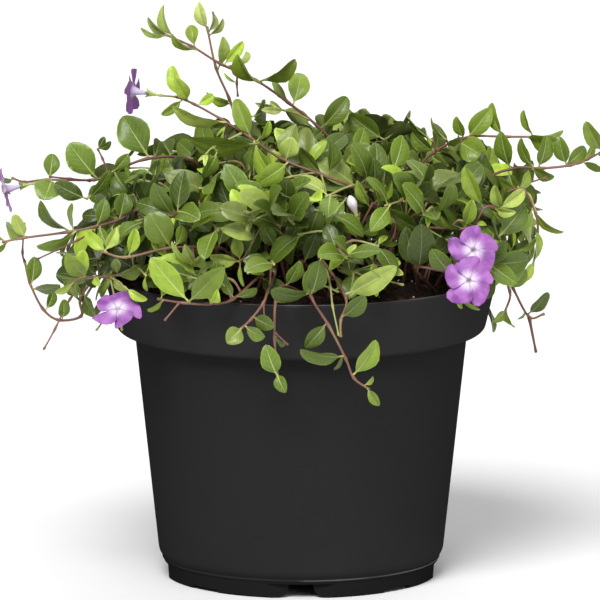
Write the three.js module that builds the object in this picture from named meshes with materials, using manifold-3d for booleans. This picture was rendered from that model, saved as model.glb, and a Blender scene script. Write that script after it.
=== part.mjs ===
// A lesser periwinkle with violet flowers in a round black nursery pot.
// Millimetres, +Z up. The origin is the centre of the pot's foot circle, and the front looks along -Y.
// The plant is a low mound of evergreen leaves in pairs, with thin runners that arch over it, reach past
// the rim and hang down the pot. The runners that show from the front are set out one by one from the
// picture. The rest of the mound follows a growing rule with seeded draws, and every leaf turns clear of
// what already grows there.
import * as THREE from "three";
import { mergeVertices } from "three/addons/utils/BufferGeometryUtils.js";
import Module from "manifold-3d";

const wasm = await Module();
wasm.setup();

// The pot
const potHeight = 148;
const rimTopRadius = 95;
const rimBandHeight = 28;
const rimBandTaper = 6;
const wallTopRadius = 80.3;
const wallFootRadius = 68.8;
const footRadius = 65.6;
const footHeight = 10.8;
const footThickness = 3;
const wallThickness = 1.5;
const floorHeight = 8;
const floorThickness = 1.6;
const potSides = 24;
const pieceGap = 0.3;

// Under the pot: four wide drain arches in shallow recesses, four low notches between them, and a hole in
// the floor behind each arch
const archFootHalf = 12;
const archTopHalf = 5.6;
const archHeight = 7;
const recessWidth = 32;
const recessDepth = 1.3;
const notchWidth = 16.5;
const notchHeight = 1.5;
const floorHoleRadius = 5;
const floorHoleCircle = 46;

// The soil
const soilEdgeHeight = 142.5;
const soilCrown = 3.5;
const rootDepth = 7;
const stemHoleRadius = 2.4;

// Stems, leaves and flowers
const stemRadius = 1.0;
const tipRadius = 0.8;
const twigStartRadius = 0.3;
const stemSides = 3;
const leafThickness = 0.7;
const leafWidthShare = 0.52;
const leafFold = 0.18;
const leafArch = 0.3;
const nodeStep = 1.5;
const petalThickness = 0.8;
const tubeLength = 9;
const tubeRadius = 1.9;
const throatDepth = 2.4;
const flowerStalk = 26;
const calyxRadius = 1.7;
const calyxLength = 3.4;

// How the picture is seen: from 10.1 degrees above the horizon, from far away.
const pixelsPerMm = 2.074;
const axisPixelX = 301;
const groundPixelY = 572.9;
const viewRise = THREE.MathUtils.degToRad(10.1);
const towardViewer = vec(0, -Math.cos(viewRise), Math.sin(viewRise));

function vec(x, y, z) {
  return new THREE.Vector3(x, y, z);
}

// The point that the picture shows at a pixel, for a depth y behind the pot's axis.
function seen(pixelX, pixelY, depth) {
  const across = (pixelX - axisPixelX) / pixelsPerMm;
  const up = (groundPixelY - pixelY) / pixelsPerMm;
  return vec(across, depth, (up - depth * Math.sin(viewRise)) / Math.cos(viewRise));
}

// Draws from 0 to 1, the same in every run
let drawState = 4211;
function draw() {
  drawState = (drawState * 16807) % 2147483647;
  return drawState / 2147483647;
}
function between(low, high) {
  return low + (high - low) * draw();
}

// Runners and sprays that show from the front. A node is [pixel x, pixel y, depth], followed by its
// leaves as [tip pixel x, tip pixel y, tip depth less the node's, roll away from the viewer in degrees],
// and the width as a share of the length where it isn't the usual one.
// A bloom or bud is [number of the node it springs from, pixel x, pixel y, depth, the way it faces]. A stub
// is a bare twig, given by the pixel x, pixel y and depth of both its ends.
const shownSprays = [
  {
    name: "runner_top_left",
    root: [30, 20],
    nodes: [
      [352, 200, 16],
      [344, 157, 10],
      [318, 127, 6, [348, 98, 2, 15], [313, 139, -8, 10]],
      [288, 103, 3, [275, 73, 2, 62], [302, 72, 4, 10, 0.6]],
      [256, 81, 0, [295, 59, 2, 58], [237, 57, -5, 56]],
      [221, 65, -3, [243, 42, 3, 20], [248, 54, 8, 60]],
      [193, 48, -6, [191, 26, 3, 5, 0.68], [172, 38, -5, 65]],
      [166, 36, -9, [141, 31, -2, 65], [149, 18, 2, 60], [162, 7, 3, 60]],
    ],
  },
  {
    name: "runner_top",
    root: [-16, 34],
    nodes: [
      [262, 175, 34],
      [240, 130, 32],
      [229, 98, 29, [206, 92, 6, 60], [212, 99, -3, 30]],
      [216, 68, 26, [224, 37, -2, 45]],
      [207, 27, 24, [198, 3, -2, 28], [214, 11, 3, 55], [223, 19, -3, 45]],
    ],
  },
  {
    name: "runner_flowering_top",
    root: [44, -22],
    nodes: [
      [377, 214, -46],
      [357, 191, -54],
      [321, 176, -54, [301, 149, 4, 40], [332, 140, 5, 50]],
      [283, 161, -50, [292, 139, -3, 0, 0.8], [257, 186, -10, 20]],
      [249, 138, -46, [236, 101, 4, 5], [277, 182, -9, 38], [270, 123, -6, 50], [189, 139, -6, 48]],
      [222, 121, -44, [264, 89, -2, 55], [174, 107, -6, 60]],
      [195, 106, -42, [214, 97, 3, 15, 0.6]],
      [178, 99, -41, [173, 68, 3, 25], [163, 117, -4, 25], [154, 100, -7, 55], [176, 80, -5, 20]],
    ],
    bloom: [7, 134, 93, -41, [-0.94, 0.32, 0.1]],
  },
  {
    name: "runner_left_flowering",
    root: [-38, -14],
    nodes: [
      [205, 182, -20],
      [187, 160, -27],
      [148, 160, -33, [124, 118, 2, 0, 0.68], [160, 140, 12, 35]],
      [110, 175, -38, [130, 155, 5, 25], [128, 192, -8, 10, 0.75]],
      [96, 181, -40, [71, 145, -2, 5, 0.64], [112, 197, -8, 40]],
      [48, 181, -42, [55, 155, 2, 10, 0.62], [48, 199, -5, 0, 0.9]],
      [27, 183, -33],
      [14, 179, -27, [-1, 181, 3, 50]],
    ],
    bloom: [5, 8, 191, -50, [-0.97, -0.12, -0.2]],
  },
  {
    name: "runner_left",
    root: [-52, -32],
    nodes: [
      [150, 214, -50],
      [118, 222, -56, [127, 194, 2, 10, 0.66], [96, 208, 3, 30]],
      [96, 228, -59, [108, 200, 4, 20], [110, 246, -6, 30]],
      [70, 233, -60, [41, 205, -3, 66], [75, 204, 4, 70], [41, 250, -5, 64]],
      [25, 239, -62, [18, 215, -3, 15], [9, 224, 3, 50]],
      [6, 243, -63, [-6, 228, 3, 60], [-7, 252, -4, 60]],
    ],
  },
  {
    name: "runner_left_loop",
    root: [-62, -20],
    nodes: [
      [136, 262, -36],
      [98, 279, -42, [84, 262, 4, 20], [112, 262, -6, 10]],
      [82, 299, -45, [66, 280, -4, 20], [96, 316, -8, 30]],
      [83, 316, -48],
      [61, 320, -50, [66, 300, -4, 25]],
      [45, 309, -50, [56, 289, 5, 30]],
      [32, 283, -49, [37, 257, -4, 15], [62, 286, -7, 55]],
      [27, 262, -48],
    ],
  },
  {
    name: "spray_left_front",
    root: [-58, -42],
    nodes: [
      [140, 272, -56],
      [112, 277, -64, [128, 292, -8, 40], [143, 268, -3, 50], [117, 259, -3, 20, 0.7]],
      [84, 278, -66, [85, 251, -3, 20, 0.62], [70, 257, -4, 30], [58, 274, 2, 45], [102, 286, -6, 15, 0.6]],
      [74, 284, -67, [58, 293, -4, 40], [80, 302, -5, 30]],
    ],
    bloom: [1, 120, 308, -80, [-0.12, -0.62, 0.78]],
  },
  {
    name: "spray_front_left",
    root: [-14, -48],
    nodes: [
      [232, 256, -64],
      [217, 248, -72, [229, 217, 2, 0], [205, 222, 4, 25]],
      [170, 249, -78, [151, 214, 0, 0, 0.74], [186, 226, 5, 30]],
      [128, 258, -78, [138, 229, 1, 15]],
      [104, 252, -76, [119, 228, 1, 20], [88, 232, 2, 15]],
    ],
  },
  {
    name: "runner_on_rim",
    root: [-22, -62],
    nodes: [
      [262, 276, -80],
      [233, 300, -95, [224, 275, 2, 35], [257, 290, -4, 50]],
      [209, 304, -97, [212, 283, -4, 35]],
      [186, 303, -95, [226, 267, -3, 5, 0.42], [153, 258, -2, 15, 0.42]],
      [160, 299, -92, [166, 276, 3, 35], [149, 309, -7, 60]],
    ],
  },
  {
    name: "runner_front_hanging",
    root: [-6, -58],
    nodes: [
      [277, 248, -68, [262, 222, 0, 20], [300, 224, 0, 30]],
      [275, 274, -84],
      [268, 292, -97],
      [264, 303, -101],
      [252, 319, -103, [275, 327, -5, 15, 0.6]],
      [241, 329, -104, [228, 343, -2, 5, 0.8], [265, 337, 2, 20, 0.7]],
      [233, 336, -104],
    ],
  },
  {
    name: "runner_front_long",
    root: [4, -68],
    nodes: [
      [284, 286, -92, [300, 262, -4, 30]],
      [276, 302, -103],
      [275, 338, -104, [286, 343, -2, 60]],
      [278, 378, -101, [266, 346, -2, 10], [285, 391, -2, 20, 0.7]],
    ],
  },
  {
    name: "runner_front_trailing",
    root: [12, -56],
    nodes: [
      [302, 262, -76, [316, 234, 2, 20]],
      [311, 297, -99, [320, 262, -4, 20], [273, 293, -4, 60]],
      [328, 325, -103, [305, 347, -2, 15]],
      [345, 358, -102, [300, 349, -3, 50], [333, 369, -2, 40]],
      [353, 377, -101, [375, 340, -2, 40]],
      [368, 388, -100, [378, 404, -3, 10], [372, 376, -3, 40]],
    ],
  },
  {
    name: "spray_front_middle",
    root: [22, -60],
    nodes: [
      [320, 258, -78, [350, 236, -3, 20], [330, 222, 2, 20], [286, 237, -4, 50], [287, 281, -6, 35]],
      [345, 297, -99, [395, 266, -3, 20, 0.42]],
      [340, 320, -104, [364, 296, -4, 30]],
      [340, 336, -104],
    ],
  },
  {
    name: "spray_right_flowers",
    root: [56, -34],
    nodes: [
      [408, 240, -48],
      [424, 229, -58, [463, 197, -4, 20], [384, 210, -2, 25], [432, 204, 4, 15]],
      [466, 229, -62, [470, 201, -3, 10, 0.55], [439, 219, -2, 55]],
      [484, 208, -60, [463, 168, -3, 25, 0.42], [462, 196, -2, 50]],
      [500, 212, -54, [493, 186, -5, 15, 0.5], [521, 191, -3, 20], [512, 214, -6, 25]],
    ],
    bloom: [1, 471, 251, -80, [0.05, -0.95, 0.3]],
  },
  {
    name: "spray_right_low",
    root: [64, -44],
    nodes: [
      [414, 268, -66, [404, 229, -3, 15, 0.48], [421, 231, -7, 15, 0.48]],
      [452, 272, -70, [430, 252, -4, 25]],
      [488, 262, -58, [514, 284, -6, 5], [528, 262, -2, 40], [503, 240, -2, 20]],
      [508, 291, -48, [524, 270, -2, 30]],
      [503, 313, -48, [492, 322, -3, 30], [511, 329, -3, 60]],
    ],
    bloom: [1, 466, 281, -93, [-0.05, -0.97, 0.24]],
  },
  {
    name: "runner_right_high",
    root: [48, 26],
    nodes: [
      [414, 178, 16],
      [438, 150, 12, [411, 133, 3, 35], [437, 122, 4, 45], [447, 166, -8, 20]],
      [470, 137, 10, [491, 109, 2, 5], [456, 117, 3, 30], [448, 141, -7, 45], [485, 158, -6, 0, 0.75]],
      [506, 137, 8, [490, 103, 0, 70]],
      [536, 137, 6, [524, 110, 2, 60], [563, 131, -3, 68], [555, 143, -5, 40]],
    ],
  },
  {
    name: "runner_right",
    root: [58, -4],
    nodes: [
      [478, 188, -10],
      [513, 169, -12, [500, 132, -3, 35], [516, 196, -8, 20]],
      [540, 169, -14, [546, 137, -2, 30], [517, 140, -3, 55], [552, 178, -6, 40]],
      [569, 166, -16, [557, 139, -2, 25], [585, 148, 2, 20]],
      [586, 160, -17, [594, 141, -2, 45], [604, 170, -4, 50]],
      [603, 151, -18, [584, 124, -2, 15], [611, 134, 2, 30], [612, 154, -4, 40]],
    ],
  },
  {
    name: "runner_right_hanging",
    root: [66, -18],
    nodes: [
      [492, 206, -28],
      [520, 190, -30, [497, 180, 4, 40], [529, 172, 4, 50]],
      [534, 214, -33, [560, 235, -3, 62], [519, 231, -3, 62]],
      [536, 240, -35, [517, 251, -3, 58]],
      [531, 267, -36, [534, 233, -4, 60], [520, 283, -4, 25]],
    ],
  },
  {
    name: "runner_right_low",
    root: [70, 4],
    nodes: [
      [480, 258, -2],
      [503, 272, -14],
      [512, 288, -20],
      [528, 317, -26, [547, 292, -4, 40], [517, 320, 2, 60]],
      [543, 314, -28, [540, 273, -3, 60]],
    ],
    stub: [528, 317, -26, 535, 352, -27],
  },
  {
    name: "spray_middle",
    root: [24, -28],
    nodes: [
      [356, 262, -44],
      [358, 234, -54, [381, 221, -3, 20], [336, 214, 4, 35]],
      [372, 204, -60, [392, 182, -3, 15], [356, 182, 4, 30]],
    ],
    bud: [1, 351, 203, -64, [-0.3, -0.25, 0.92]],
  },
];

// Runners that hang over the rim where the front doesn't show: the way they lie in degrees from +X, the
// number of their nodes, how far they swing round the pot as they fall, and whether they flower
const hiddenRunners = [
  { name: "runner_side_right", toward: 24, steps: 5, swing: 0.25, flowers: false },
  { name: "runner_back_right", toward: 66, steps: 6, swing: -0.3, flowers: true },
  { name: "runner_back_left", toward: 112, steps: 5, swing: 0.3, flowers: true },
  { name: "runner_side_left", toward: 156, steps: 5, swing: -0.25, flowers: false },
];

// The line that they fall along, as points [distance from the pot's axis, height] that steer its curve.
// Its end drops further with every node.
const fallLine = [
  [66, 158],
  [88, 182],
  [113, 172],
  [109, 172],
];
const dropPerNode = 10;
const runnerRoot = 60;

// A soft curve from the soil to a tip: up first, then outwards. Its nodes come at equal steps.
function archNodes(base, tip, count, rise) {
  const out = vec(tip.x - base.x, tip.y - base.y, 0);
  const curve = new THREE.CubicBezierCurve3(
    base,
    base.clone().add(vec(out.x * 0.08, out.y * 0.08, (tip.z - base.z) * 0.6 + 6)),
    tip.clone().add(vec(out.x * -0.45, out.y * -0.45, rise)),
    tip,
  );
  return Array.from({ length: count }, (_, i) => curve.getPoint((i + 1) / count));
}

function soilHeight(radius) {
  return soilEdgeHeight + soilCrown * (1 - (radius / (rimTopRadius - 6)) ** 2);
}

// Half the blade's width along its length, as a share of its widest half
function bladeOutline(v) {
  return Math.sin(Math.PI * v ** 0.9) ** 0.8;
}

// A point of a leaf's middle surface: v runs from the stem to the tip, u from edge to edge.
function leafPoint(leaf, v, u) {
  const half = (leaf.width / 2) * (v >= 1 ? 0 : bladeOutline(v));
  const lift = Math.abs(u) * half * leafFold + leafArch * leaf.length * v * (1 - v);
  return leaf.base
    .clone()
    .addScaledVector(leaf.along, leaf.length * v)
    .addScaledVector(leaf.side, u * half)
    .addScaledVector(leaf.normal, lift);
}

// A leaf from a base point to a tip, with its upper face turned as near as it can be to a given way.
function makeLeaf(base, tip, facing, width) {
  const along = tip.clone().sub(base);
  const length = along.length();
  along.normalize();
  const normal = facing.clone().addScaledVector(along, -facing.dot(along)).normalize();
  const side = along.clone().cross(normal);
  return { base, along, normal, side, length, width };
}

// Points spread over a leaf, which stand for it when its distance to others is tested
const testRows = [0.16, 0.3, 0.44, 0.58, 0.72, 0.86, 1];
const testColumns = [-1, -0.5, 0, 0.5, 1];
const outerShare = 0.28;
function leafTestPoints(leaf) {
  return testRows.flatMap((v) =>
    (v === 1 ? [0] : testColumns).map((u) => ({ at: leafPoint(leaf, v, u), outer: v > outerShare })),
  );
}

// Everything that already grows, in cells of a grid
const clearance = 3.2;
const ownClearance = 2.3;
const stemClearance = 2.6;
const ownStemClearance = 1.7;
const testStep = 1.8;
const cellSize = 4;
const grown = new Map();
function cellKey(i, j, k) {
  return (i * 4096 + j) * 4096 + k;
}
function cellOf(p) {
  return [p.x, p.y, p.z].map((c) => Math.floor(c / cellSize) + 1024);
}
function remember(points, owner) {
  for (const { at, outer } of points) {
    const key = cellKey(...cellOf(at));
    if (!grown.has(key)) grown.set(key, []);
    grown.get(key).push({ at, outer, owner });
  }
}
function isClear(points, owner, gap) {
  for (const { at, outer } of points) {
    if (!clearOfPot(at)) return false;
    const [ci, cj, ck] = cellOf(at);
    for (let i = ci - 1; i <= ci + 1; i++)
      for (let j = cj - 1; j <= cj + 1; j++)
        for (let k = ck - 1; k <= ck + 1; k++)
          for (const other of grown.get(cellKey(i, j, k)) ?? []) {
            const distance = at.distanceTo(other.at);
            const ownGap = other.outer ? ownClearance : ownStemClearance;
            const needed = other.owner !== owner ? gap : outer ? ownGap : 0;
            if (distance < needed) return false;
          }
  }
  return true;
}

// Whether a point keeps this margin off the pot and the soil
const potMargin = 1.4;
function clearOfPot(p) {
  const radius = Math.hypot(p.x, p.y);
  if (p.z > potHeight + potMargin) return true;
  if (p.z > potHeight - rimBandHeight - 3 && radius > rimTopRadius + potMargin) return true;
  if (p.z <= potHeight - rimBandHeight - 3 && radius > wallTopRadius + potMargin) return true;
  return radius < rimTopRadius - 5 - potMargin && p.z > soilHeight(radius) + potMargin;
}

// Points along a stem, which stand for it in the same test
function stemTestPoints(points) {
  const list = [];
  points.slice(1).forEach((end, i) => {
    const start = points[i];
    const count = Math.max(1, Math.ceil(start.distanceTo(end) / testStep));
    for (let k = 1; k <= count; k++) list.push({ at: start.clone().lerp(end, k / count), outer: false });
  });
  return list;
}

// Sprays gather their stems first, so that all leaves keep clear of all stems.
const sprays = [];
function newSpray(name, root) {
  const radius = Math.hypot(...root);
  const ground = soilHeight(radius);
  const spray = { name, owner: sprays.length, stems: [], leaves: [], flower: null };
  spray.foot = vec(root[0], root[1], ground - rootDepth);
  spray.collar = vec(root[0], root[1], ground + 2);
  sprays.push(spray);
  return spray;
}

function addStem(spray, points, fromFoot) {
  const all = fromFoot ? [spray.foot, spray.collar, ...points] : points;
  spray.stems.push(all);
  remember(stemTestPoints(fromFoot ? all.slice(1) : all), spray.owner);
}

// The stem of a flower ends in the calyx, and the bloom or bud stands on that.
function addFlower(spray, start, centre, facing, kind) {
  const way = facing.clone().normalize();
  const calyx = centre.clone().addScaledVector(way, -tubeLength - pieceGap);
  const bend = calyx.clone().addScaledVector(way, -5);
  spray.flower = { kind, centre, way, calyx };
  addStem(spray, [start, bend, calyx], false);
  if (kind === "bloom") remember(bloomTestPoints(centre, way), spray.owner);
  else remember(stemTestPoints([calyx, centre]), spray.owner);
}

// Two ways across a flower, square to the way that it faces
function bloomFrame(way) {
  const side = vec(0.31, 0.2, 0.93).cross(way).normalize();
  return { side, up: way.clone().cross(side) };
}

function bloomTestPoints(centre, way) {
  const { side, up } = bloomFrame(way);
  const list = [];
  for (const radius of [3.5, 6.5, 9.5, 12.6])
    for (let i = 0; i < 18; i++) {
      const angle = (i / 18) * 2 * Math.PI;
      const at = centre.clone().addScaledVector(side, radius * Math.cos(angle));
      list.push({ at: at.addScaledVector(up, radius * Math.sin(angle)), outer: true });
    }
  for (let back = 1; back < tubeLength; back += 2)
    list.push({ at: centre.clone().addScaledVector(way, -back), outer: true });
  return list;
}

// The mound's height over a point of the plan, and how far it reaches each way
const moundBase = 150;
const moundRise = 56;
const moundRadius = 122;
function moundHeight(radius) {
  return moundBase + moundRise * Math.sqrt(Math.max(0, 1 - (radius / moundRadius) ** 2.4));
}
function moundReach(angle) {
  const front = Math.max(0, -Math.sin(angle));
  const back = Math.max(0, Math.sin(angle));
  return 112 - 12 * front ** 2 - 8 * back ** 2;
}
function moundTip(x, y, dip) {
  const angle = Math.atan2(y, x);
  const radius = Math.min(Math.hypot(x, y), moundReach(angle));
  return vec(radius * Math.cos(angle), radius * Math.sin(angle), moundHeight(radius) - dip);
}

// Stems of the sprays that the picture shows
const shown = shownSprays.map((plan) => {
  const spray = newSpray(plan.name, plan.root);
  const points = plan.nodes.map(([x, y, depth]) => seen(x, y, depth));
  addStem(spray, points, true);
  if (plan.stub) {
    const [x, y, depth, x2, y2, depth2] = plan.stub;
    addStem(spray, [seen(x, y, depth), seen(x2, y2, depth2)], false);
  }
  for (const kind of ["bloom", "bud"])
    if (plan[kind]) {
      const [node, x, y, depth, facing] = plan[kind];
      addFlower(spray, points[node], seen(x, y, depth), vec(...facing), kind);
    }
  return { spray, points, plan };
});

// Stems of the runners that show from the sides and the back: over the rim and down beside the pot
const hidden = hiddenRunners.map(({ name, toward, steps, swing, flowers }) => {
  const start = THREE.MathUtils.degToRad(toward);
  const spray = newSpray(name, [runnerRoot * Math.cos(start), runnerRoot * Math.sin(start)]);
  const steers = fallLine.map(([radius, height]) => new THREE.Vector2(radius, height));
  steers[3].y -= dropPerNode * steps;
  const fall = new THREE.CubicBezierCurve(...steers);
  const points = Array.from({ length: steps }, (_, i) => {
    const share = i / (steps - 1);
    const { x: radius, y: height } = fall.getPoint(share);
    const angle = start + swing * share;
    return vec(radius * Math.cos(angle), radius * Math.sin(angle), height);
  });
  addStem(spray, points, true);
  if (flowers) {
    const outward = vec(Math.cos(start), Math.sin(start), 0.5);
    addFlower(spray, points[1], points[1].clone().addScaledVector(outward, flowerStalk), outward, "bloom");
  }
  return { spray, lines: [points] };
});

// Stems of the mound: tips on a sunflower spiral over its surface, roots drawn in under them, and two
// twigs on each stem that end beside its own tip
const moundSprays = 25;
const rootShare = 0.62;
const twigReach = 25;
const forkShares = [0.3, 0.5];
const internode = 15;
const spiralTurn = THREE.MathUtils.degToRad(137.508);
const turnTries = [0, 6, -6, 12, -12, 18, -18].map(THREE.MathUtils.degToRad);
const mound = [];
for (let i = 0; i < moundSprays; i++) {
  const share = Math.sqrt((i + 0.5) / moundSprays);
  const sag = between(0, 24) * share ** 4;
  const dips = [between(-4, 4), between(-4, 7), between(-4, 7)];
  const twigTurns = [between(1.6, 2.3), -between(1.6, 2.3)];
  for (const turn of turnTries) {
    const angle = i * spiralTurn + turn;
    const reach = moundReach(angle) * share;
    const root = [reach * rootShare * Math.cos(angle), reach * rootShare * Math.sin(angle)];
    const ground = vec(root[0], root[1], soilHeight(reach * rootShare) + 2);
    const tip = moundTip(reach * Math.cos(angle), reach * Math.sin(angle), dips[0] + sag);
    const count = Math.max(4, Math.round(ground.distanceTo(tip) / internode));
    const points = archNodes(ground, tip, count, 5);
    if (!isClear(stemTestPoints([ground, ...points]).slice(1), -1, stemClearance)) continue;
    const spray = newSpray("leafy_stem_" + String(mound.length + 1).padStart(2, "0"), root);
    addStem(spray, points, true);
    const lines = [points];
    twigTurns.forEach((twigTurn, k) => {
      const below = Math.floor(count * forkShares[k]);
      const fork = points[below].clone().lerp(points[below + 1], 0.4);
      const beside = angle + twigTurn;
      const across = [tip.x + twigReach * Math.cos(beside), tip.y + twigReach * Math.sin(beside)];
      const twigTip = moundTip(...across, dips[k + 1] + sag);
      const twig = archNodes(fork, twigTip, 2, 4);
      if (!isClear(stemTestPoints([fork, ...twig]).slice(3), spray.owner, stemClearance)) return;
      addStem(spray, [fork, ...twig], false);
      lines.push(twig);
    });
    spray.outer = share > 0.6;
    mound.push({ spray, lines });
    break;
  }
}

// Leaves of the shown sprays. A leaf that would touch another leans back or forward, or rolls.
const depthTries = [0, -3, 3, -6, 6, -9, 9];
const rollTries = [0, 25, -25];
for (const { spray, points, plan } of shown)
  plan.nodes.forEach(([, , depth, ...tips], n) => {
    tips.forEach(([x, y, forward, roll, widthShare = leafWidthShare], i) => {
      const inward = points[n].clone().sub(points[n - 1] ?? spray.collar).normalize();
      const base = points[n].clone().addScaledVector(inward, -nodeStep * (i + 1));
      const leaf = tryShownLeaf(base, [x, y, depth + forward], roll, widthShare, spray);
      if (leaf) keepLeaf(spray, leaf);
    });
  });

function tryShownLeaf(base, [x, y, depth], roll, widthShare, spray) {
  for (const turn of rollTries)
    for (const shift of depthTries) {
      const tip = seen(x, y, depth + shift);
      const along = tip.clone().sub(base).normalize();
      const angle = THREE.MathUtils.degToRad(roll + turn);
      const facing = towardViewer.clone().addScaledVector(along, -towardViewer.dot(along)).normalize();
      facing.applyAxisAngle(along, along.x > 0 ? angle : -angle);
      const width = Math.min(15, widthShare * tip.distanceTo(base));
      const leaf = makeLeaf(base, tip, facing, width);
      if (isClear(leafTestPoints(leaf), spray.owner, clearance)) return leaf;
    }
  return null;
}

function keepLeaf(spray, leaf) {
  spray.leaves.push(leaf);
  remember(leafTestPoints(leaf), spray.owner);
}

// Leaves of the other runners: a pair at every node past the first
const spinTries = [0, 24, -24, 48, -48, 75, -75, 100].map(THREE.MathUtils.degToRad);
const lengthTries = [1, 0.82];
for (const { spray, lines } of hidden)
  for (let n = 1; n < lines[0].length; n++) addPair(spray, lines[0], n);

// Leaves of the mound: a pair at each tip, and on the outer stems another two nodes down
for (const { spray, lines } of mound)
  lines.forEach((line, k) => {
    addPair(spray, line, line.length - 1);
    if (k === 0 && spray.outer) addPair(spray, line, line.length - 3);
  });

function addPair(spray, line, n) {
  const tangent = line[n].clone().sub(line[n - 1]).normalize();
  const swing = between(-0.35, 0.35);
  for (const hand of [1, -1]) {
    const base = line[n].clone().addScaledVector(tangent, -nodeStep * (hand > 0 ? 1 : 2));
    const length = between(18, 24.5) * (n === line.length - 1 ? 0.92 : 1);
    const spread = between(0.75, 1.15);
    const tilt = between(-0.3, 0.3);
    const raise = between(-0.1, 0.4);
    const leaf = tryMoundLeaf(spray, base, tangent, hand, { length, spread, tilt, raise, swing });
    if (leaf) keepLeaf(spray, leaf);
  }
}

function tryMoundLeaf(spray, base, tangent, hand, { length, spread, tilt, raise, swing }) {
  const outward = vec(base.x, base.y, 0).normalize();
  const light = outward.clone().multiplyScalar(0.8).add(vec(0, 0, 0.75)).normalize();
  const across = tangent.clone().cross(light).normalize().multiplyScalar(hand);
  for (const scale of lengthTries)
    for (const spin of spinTries) {
      const way = across.clone().applyAxisAngle(tangent, swing + spin * hand);
      const along = tangent.clone().multiplyScalar(Math.cos(spread));
      along.addScaledVector(way, Math.sin(spread)).add(vec(0, 0, raise)).normalize();
      const facing = light.clone().applyAxisAngle(along, tilt);
      const tip = base.clone().addScaledVector(along, length * scale);
      const leaf = makeLeaf(base, tip, facing, length * scale * leafWidthShare);
      if (isClear(leafTestPoints(leaf), spray.owner, clearance)) return leaf;
    }
  return null;
}

// Solids
function solid(positions, faces) {
  const mesh = new wasm.Mesh({
    numProp: 3,
    vertProperties: new Float32Array(positions),
    triVerts: new Uint32Array(faces),
  });
  return new wasm.Manifold(mesh);
}

function solidOf(geometry, matrix = new THREE.Matrix4()) {
  const plain = geometry.index ? geometry.toNonIndexed() : geometry.clone();
  plain.deleteAttribute("normal");
  plain.deleteAttribute("uv");
  plain.applyMatrix4(matrix);
  const merged = mergeVertices(plain, 1e-4);
  return solid(merged.attributes.position.array, merged.index.array);
}

// The join of several solids, with the slivers shorter than a hundredth of a millimetre closed up
function union(solids) {
  return wasm.Manifold.union(solids).simplify(0.01);
}

function meshOf(name, made, material) {
  const { numProp, vertProperties, triVerts, numVert } = made.getMesh();
  const positions = new Float32Array(numVert * 3);
  for (let i = 0; i < numVert; i++)
    positions.set(vertProperties.subarray(i * numProp, i * numProp + 3), i * 3);
  const geometry = new THREE.BufferGeometry();
  geometry.setAttribute("position", new THREE.BufferAttribute(positions, 3));
  geometry.setIndex(new THREE.BufferAttribute(triVerts, 1));
  geometry.computeVertexNormals();
  const mesh = new THREE.Mesh(geometry, material);
  mesh.name = name;
  return mesh;
}

// A stem: a slim tapering prism through its nodes, closed at both ends. A twig starts thin, inside the
// stem that it springs from.
function stemSolid(points, isTwig) {
  const positions = [];
  let across = vec(0.36, 0.93, 0.1);
  points.forEach((p, i) => {
    const before = points[Math.max(0, i - 1)];
    const after = points[Math.min(points.length - 1, i + 1)];
    const tangent = after.clone().sub(before).normalize();
    if (Math.abs(across.dot(tangent)) > 0.95) across.set(0.9, -0.3, 0.3);
    across.addScaledVector(tangent, -across.dot(tangent)).normalize();
    const other = tangent.clone().cross(across);
    const taper = stemRadius + ((tipRadius - stemRadius) * i) / (points.length - 1);
    const radius = isTwig ? (i === 0 ? twigStartRadius : tipRadius) : taper;
    for (let k = 0; k < stemSides; k++) {
      const angle = (k / stemSides) * 2 * Math.PI;
      const at = p.clone().addScaledVector(across, radius * Math.cos(angle));
      positions.push(...at.addScaledVector(other, radius * Math.sin(angle)).toArray());
    }
  });
  const faces = [];
  const ring = (i, k) => i * stemSides + (k % stemSides);
  for (let i = 0; i < points.length - 1; i++)
    for (let k = 0; k < stemSides; k++) {
      faces.push(ring(i, k), ring(i, k + 1), ring(i + 1, k + 1));
      faces.push(ring(i, k), ring(i + 1, k + 1), ring(i + 1, k));
    }
  const end = points.length - 1;
  for (let k = 1; k < stemSides - 1; k++) {
    faces.push(ring(0, 0), ring(0, k + 1), ring(0, k));
    faces.push(ring(end, 0), ring(end, k), ring(end, k + 1));
  }
  return solid(positions, faces);
}

// A leaf: a thin arched blade with six corners, alike on both faces. Its root is a point sunk in the stem.
const bladeRows = [0.3, 0.68];
function leafSolid(leaf) {
  const root = leaf.base.clone().addScaledVector(leaf.along, 0.15);
  const [leftLow, leftHigh] = bladeRows.map((v) => leafPoint(leaf, v, -1));
  const [rightLow, rightHigh] = bladeRows.map((v) => leafPoint(leaf, v, 1));
  const corners = [leftLow, leftHigh, leafPoint(leaf, 1, 0), rightHigh, rightLow];
  const shift = leaf.normal.clone().multiplyScalar(leafThickness / 2);
  const upper = corners.map((p) => p.clone().add(shift));
  const lower = corners.map((p) => p.clone().sub(shift));
  const faces = [0, 5, 1, 1, 5, 4, 1, 4, 2, 2, 4, 3, 0, 6, 10, 6, 9, 10, 6, 7, 9, 7, 8, 9, 0, 1, 6, 0, 10, 5];
  for (let a = 1; a < corners.length; a++) faces.push(a, a + 1, a + 6, a, a + 6, a + 5);
  return solid([root, ...upper, ...lower].flatMap((p) => p.toArray()), faces);
}

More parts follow.
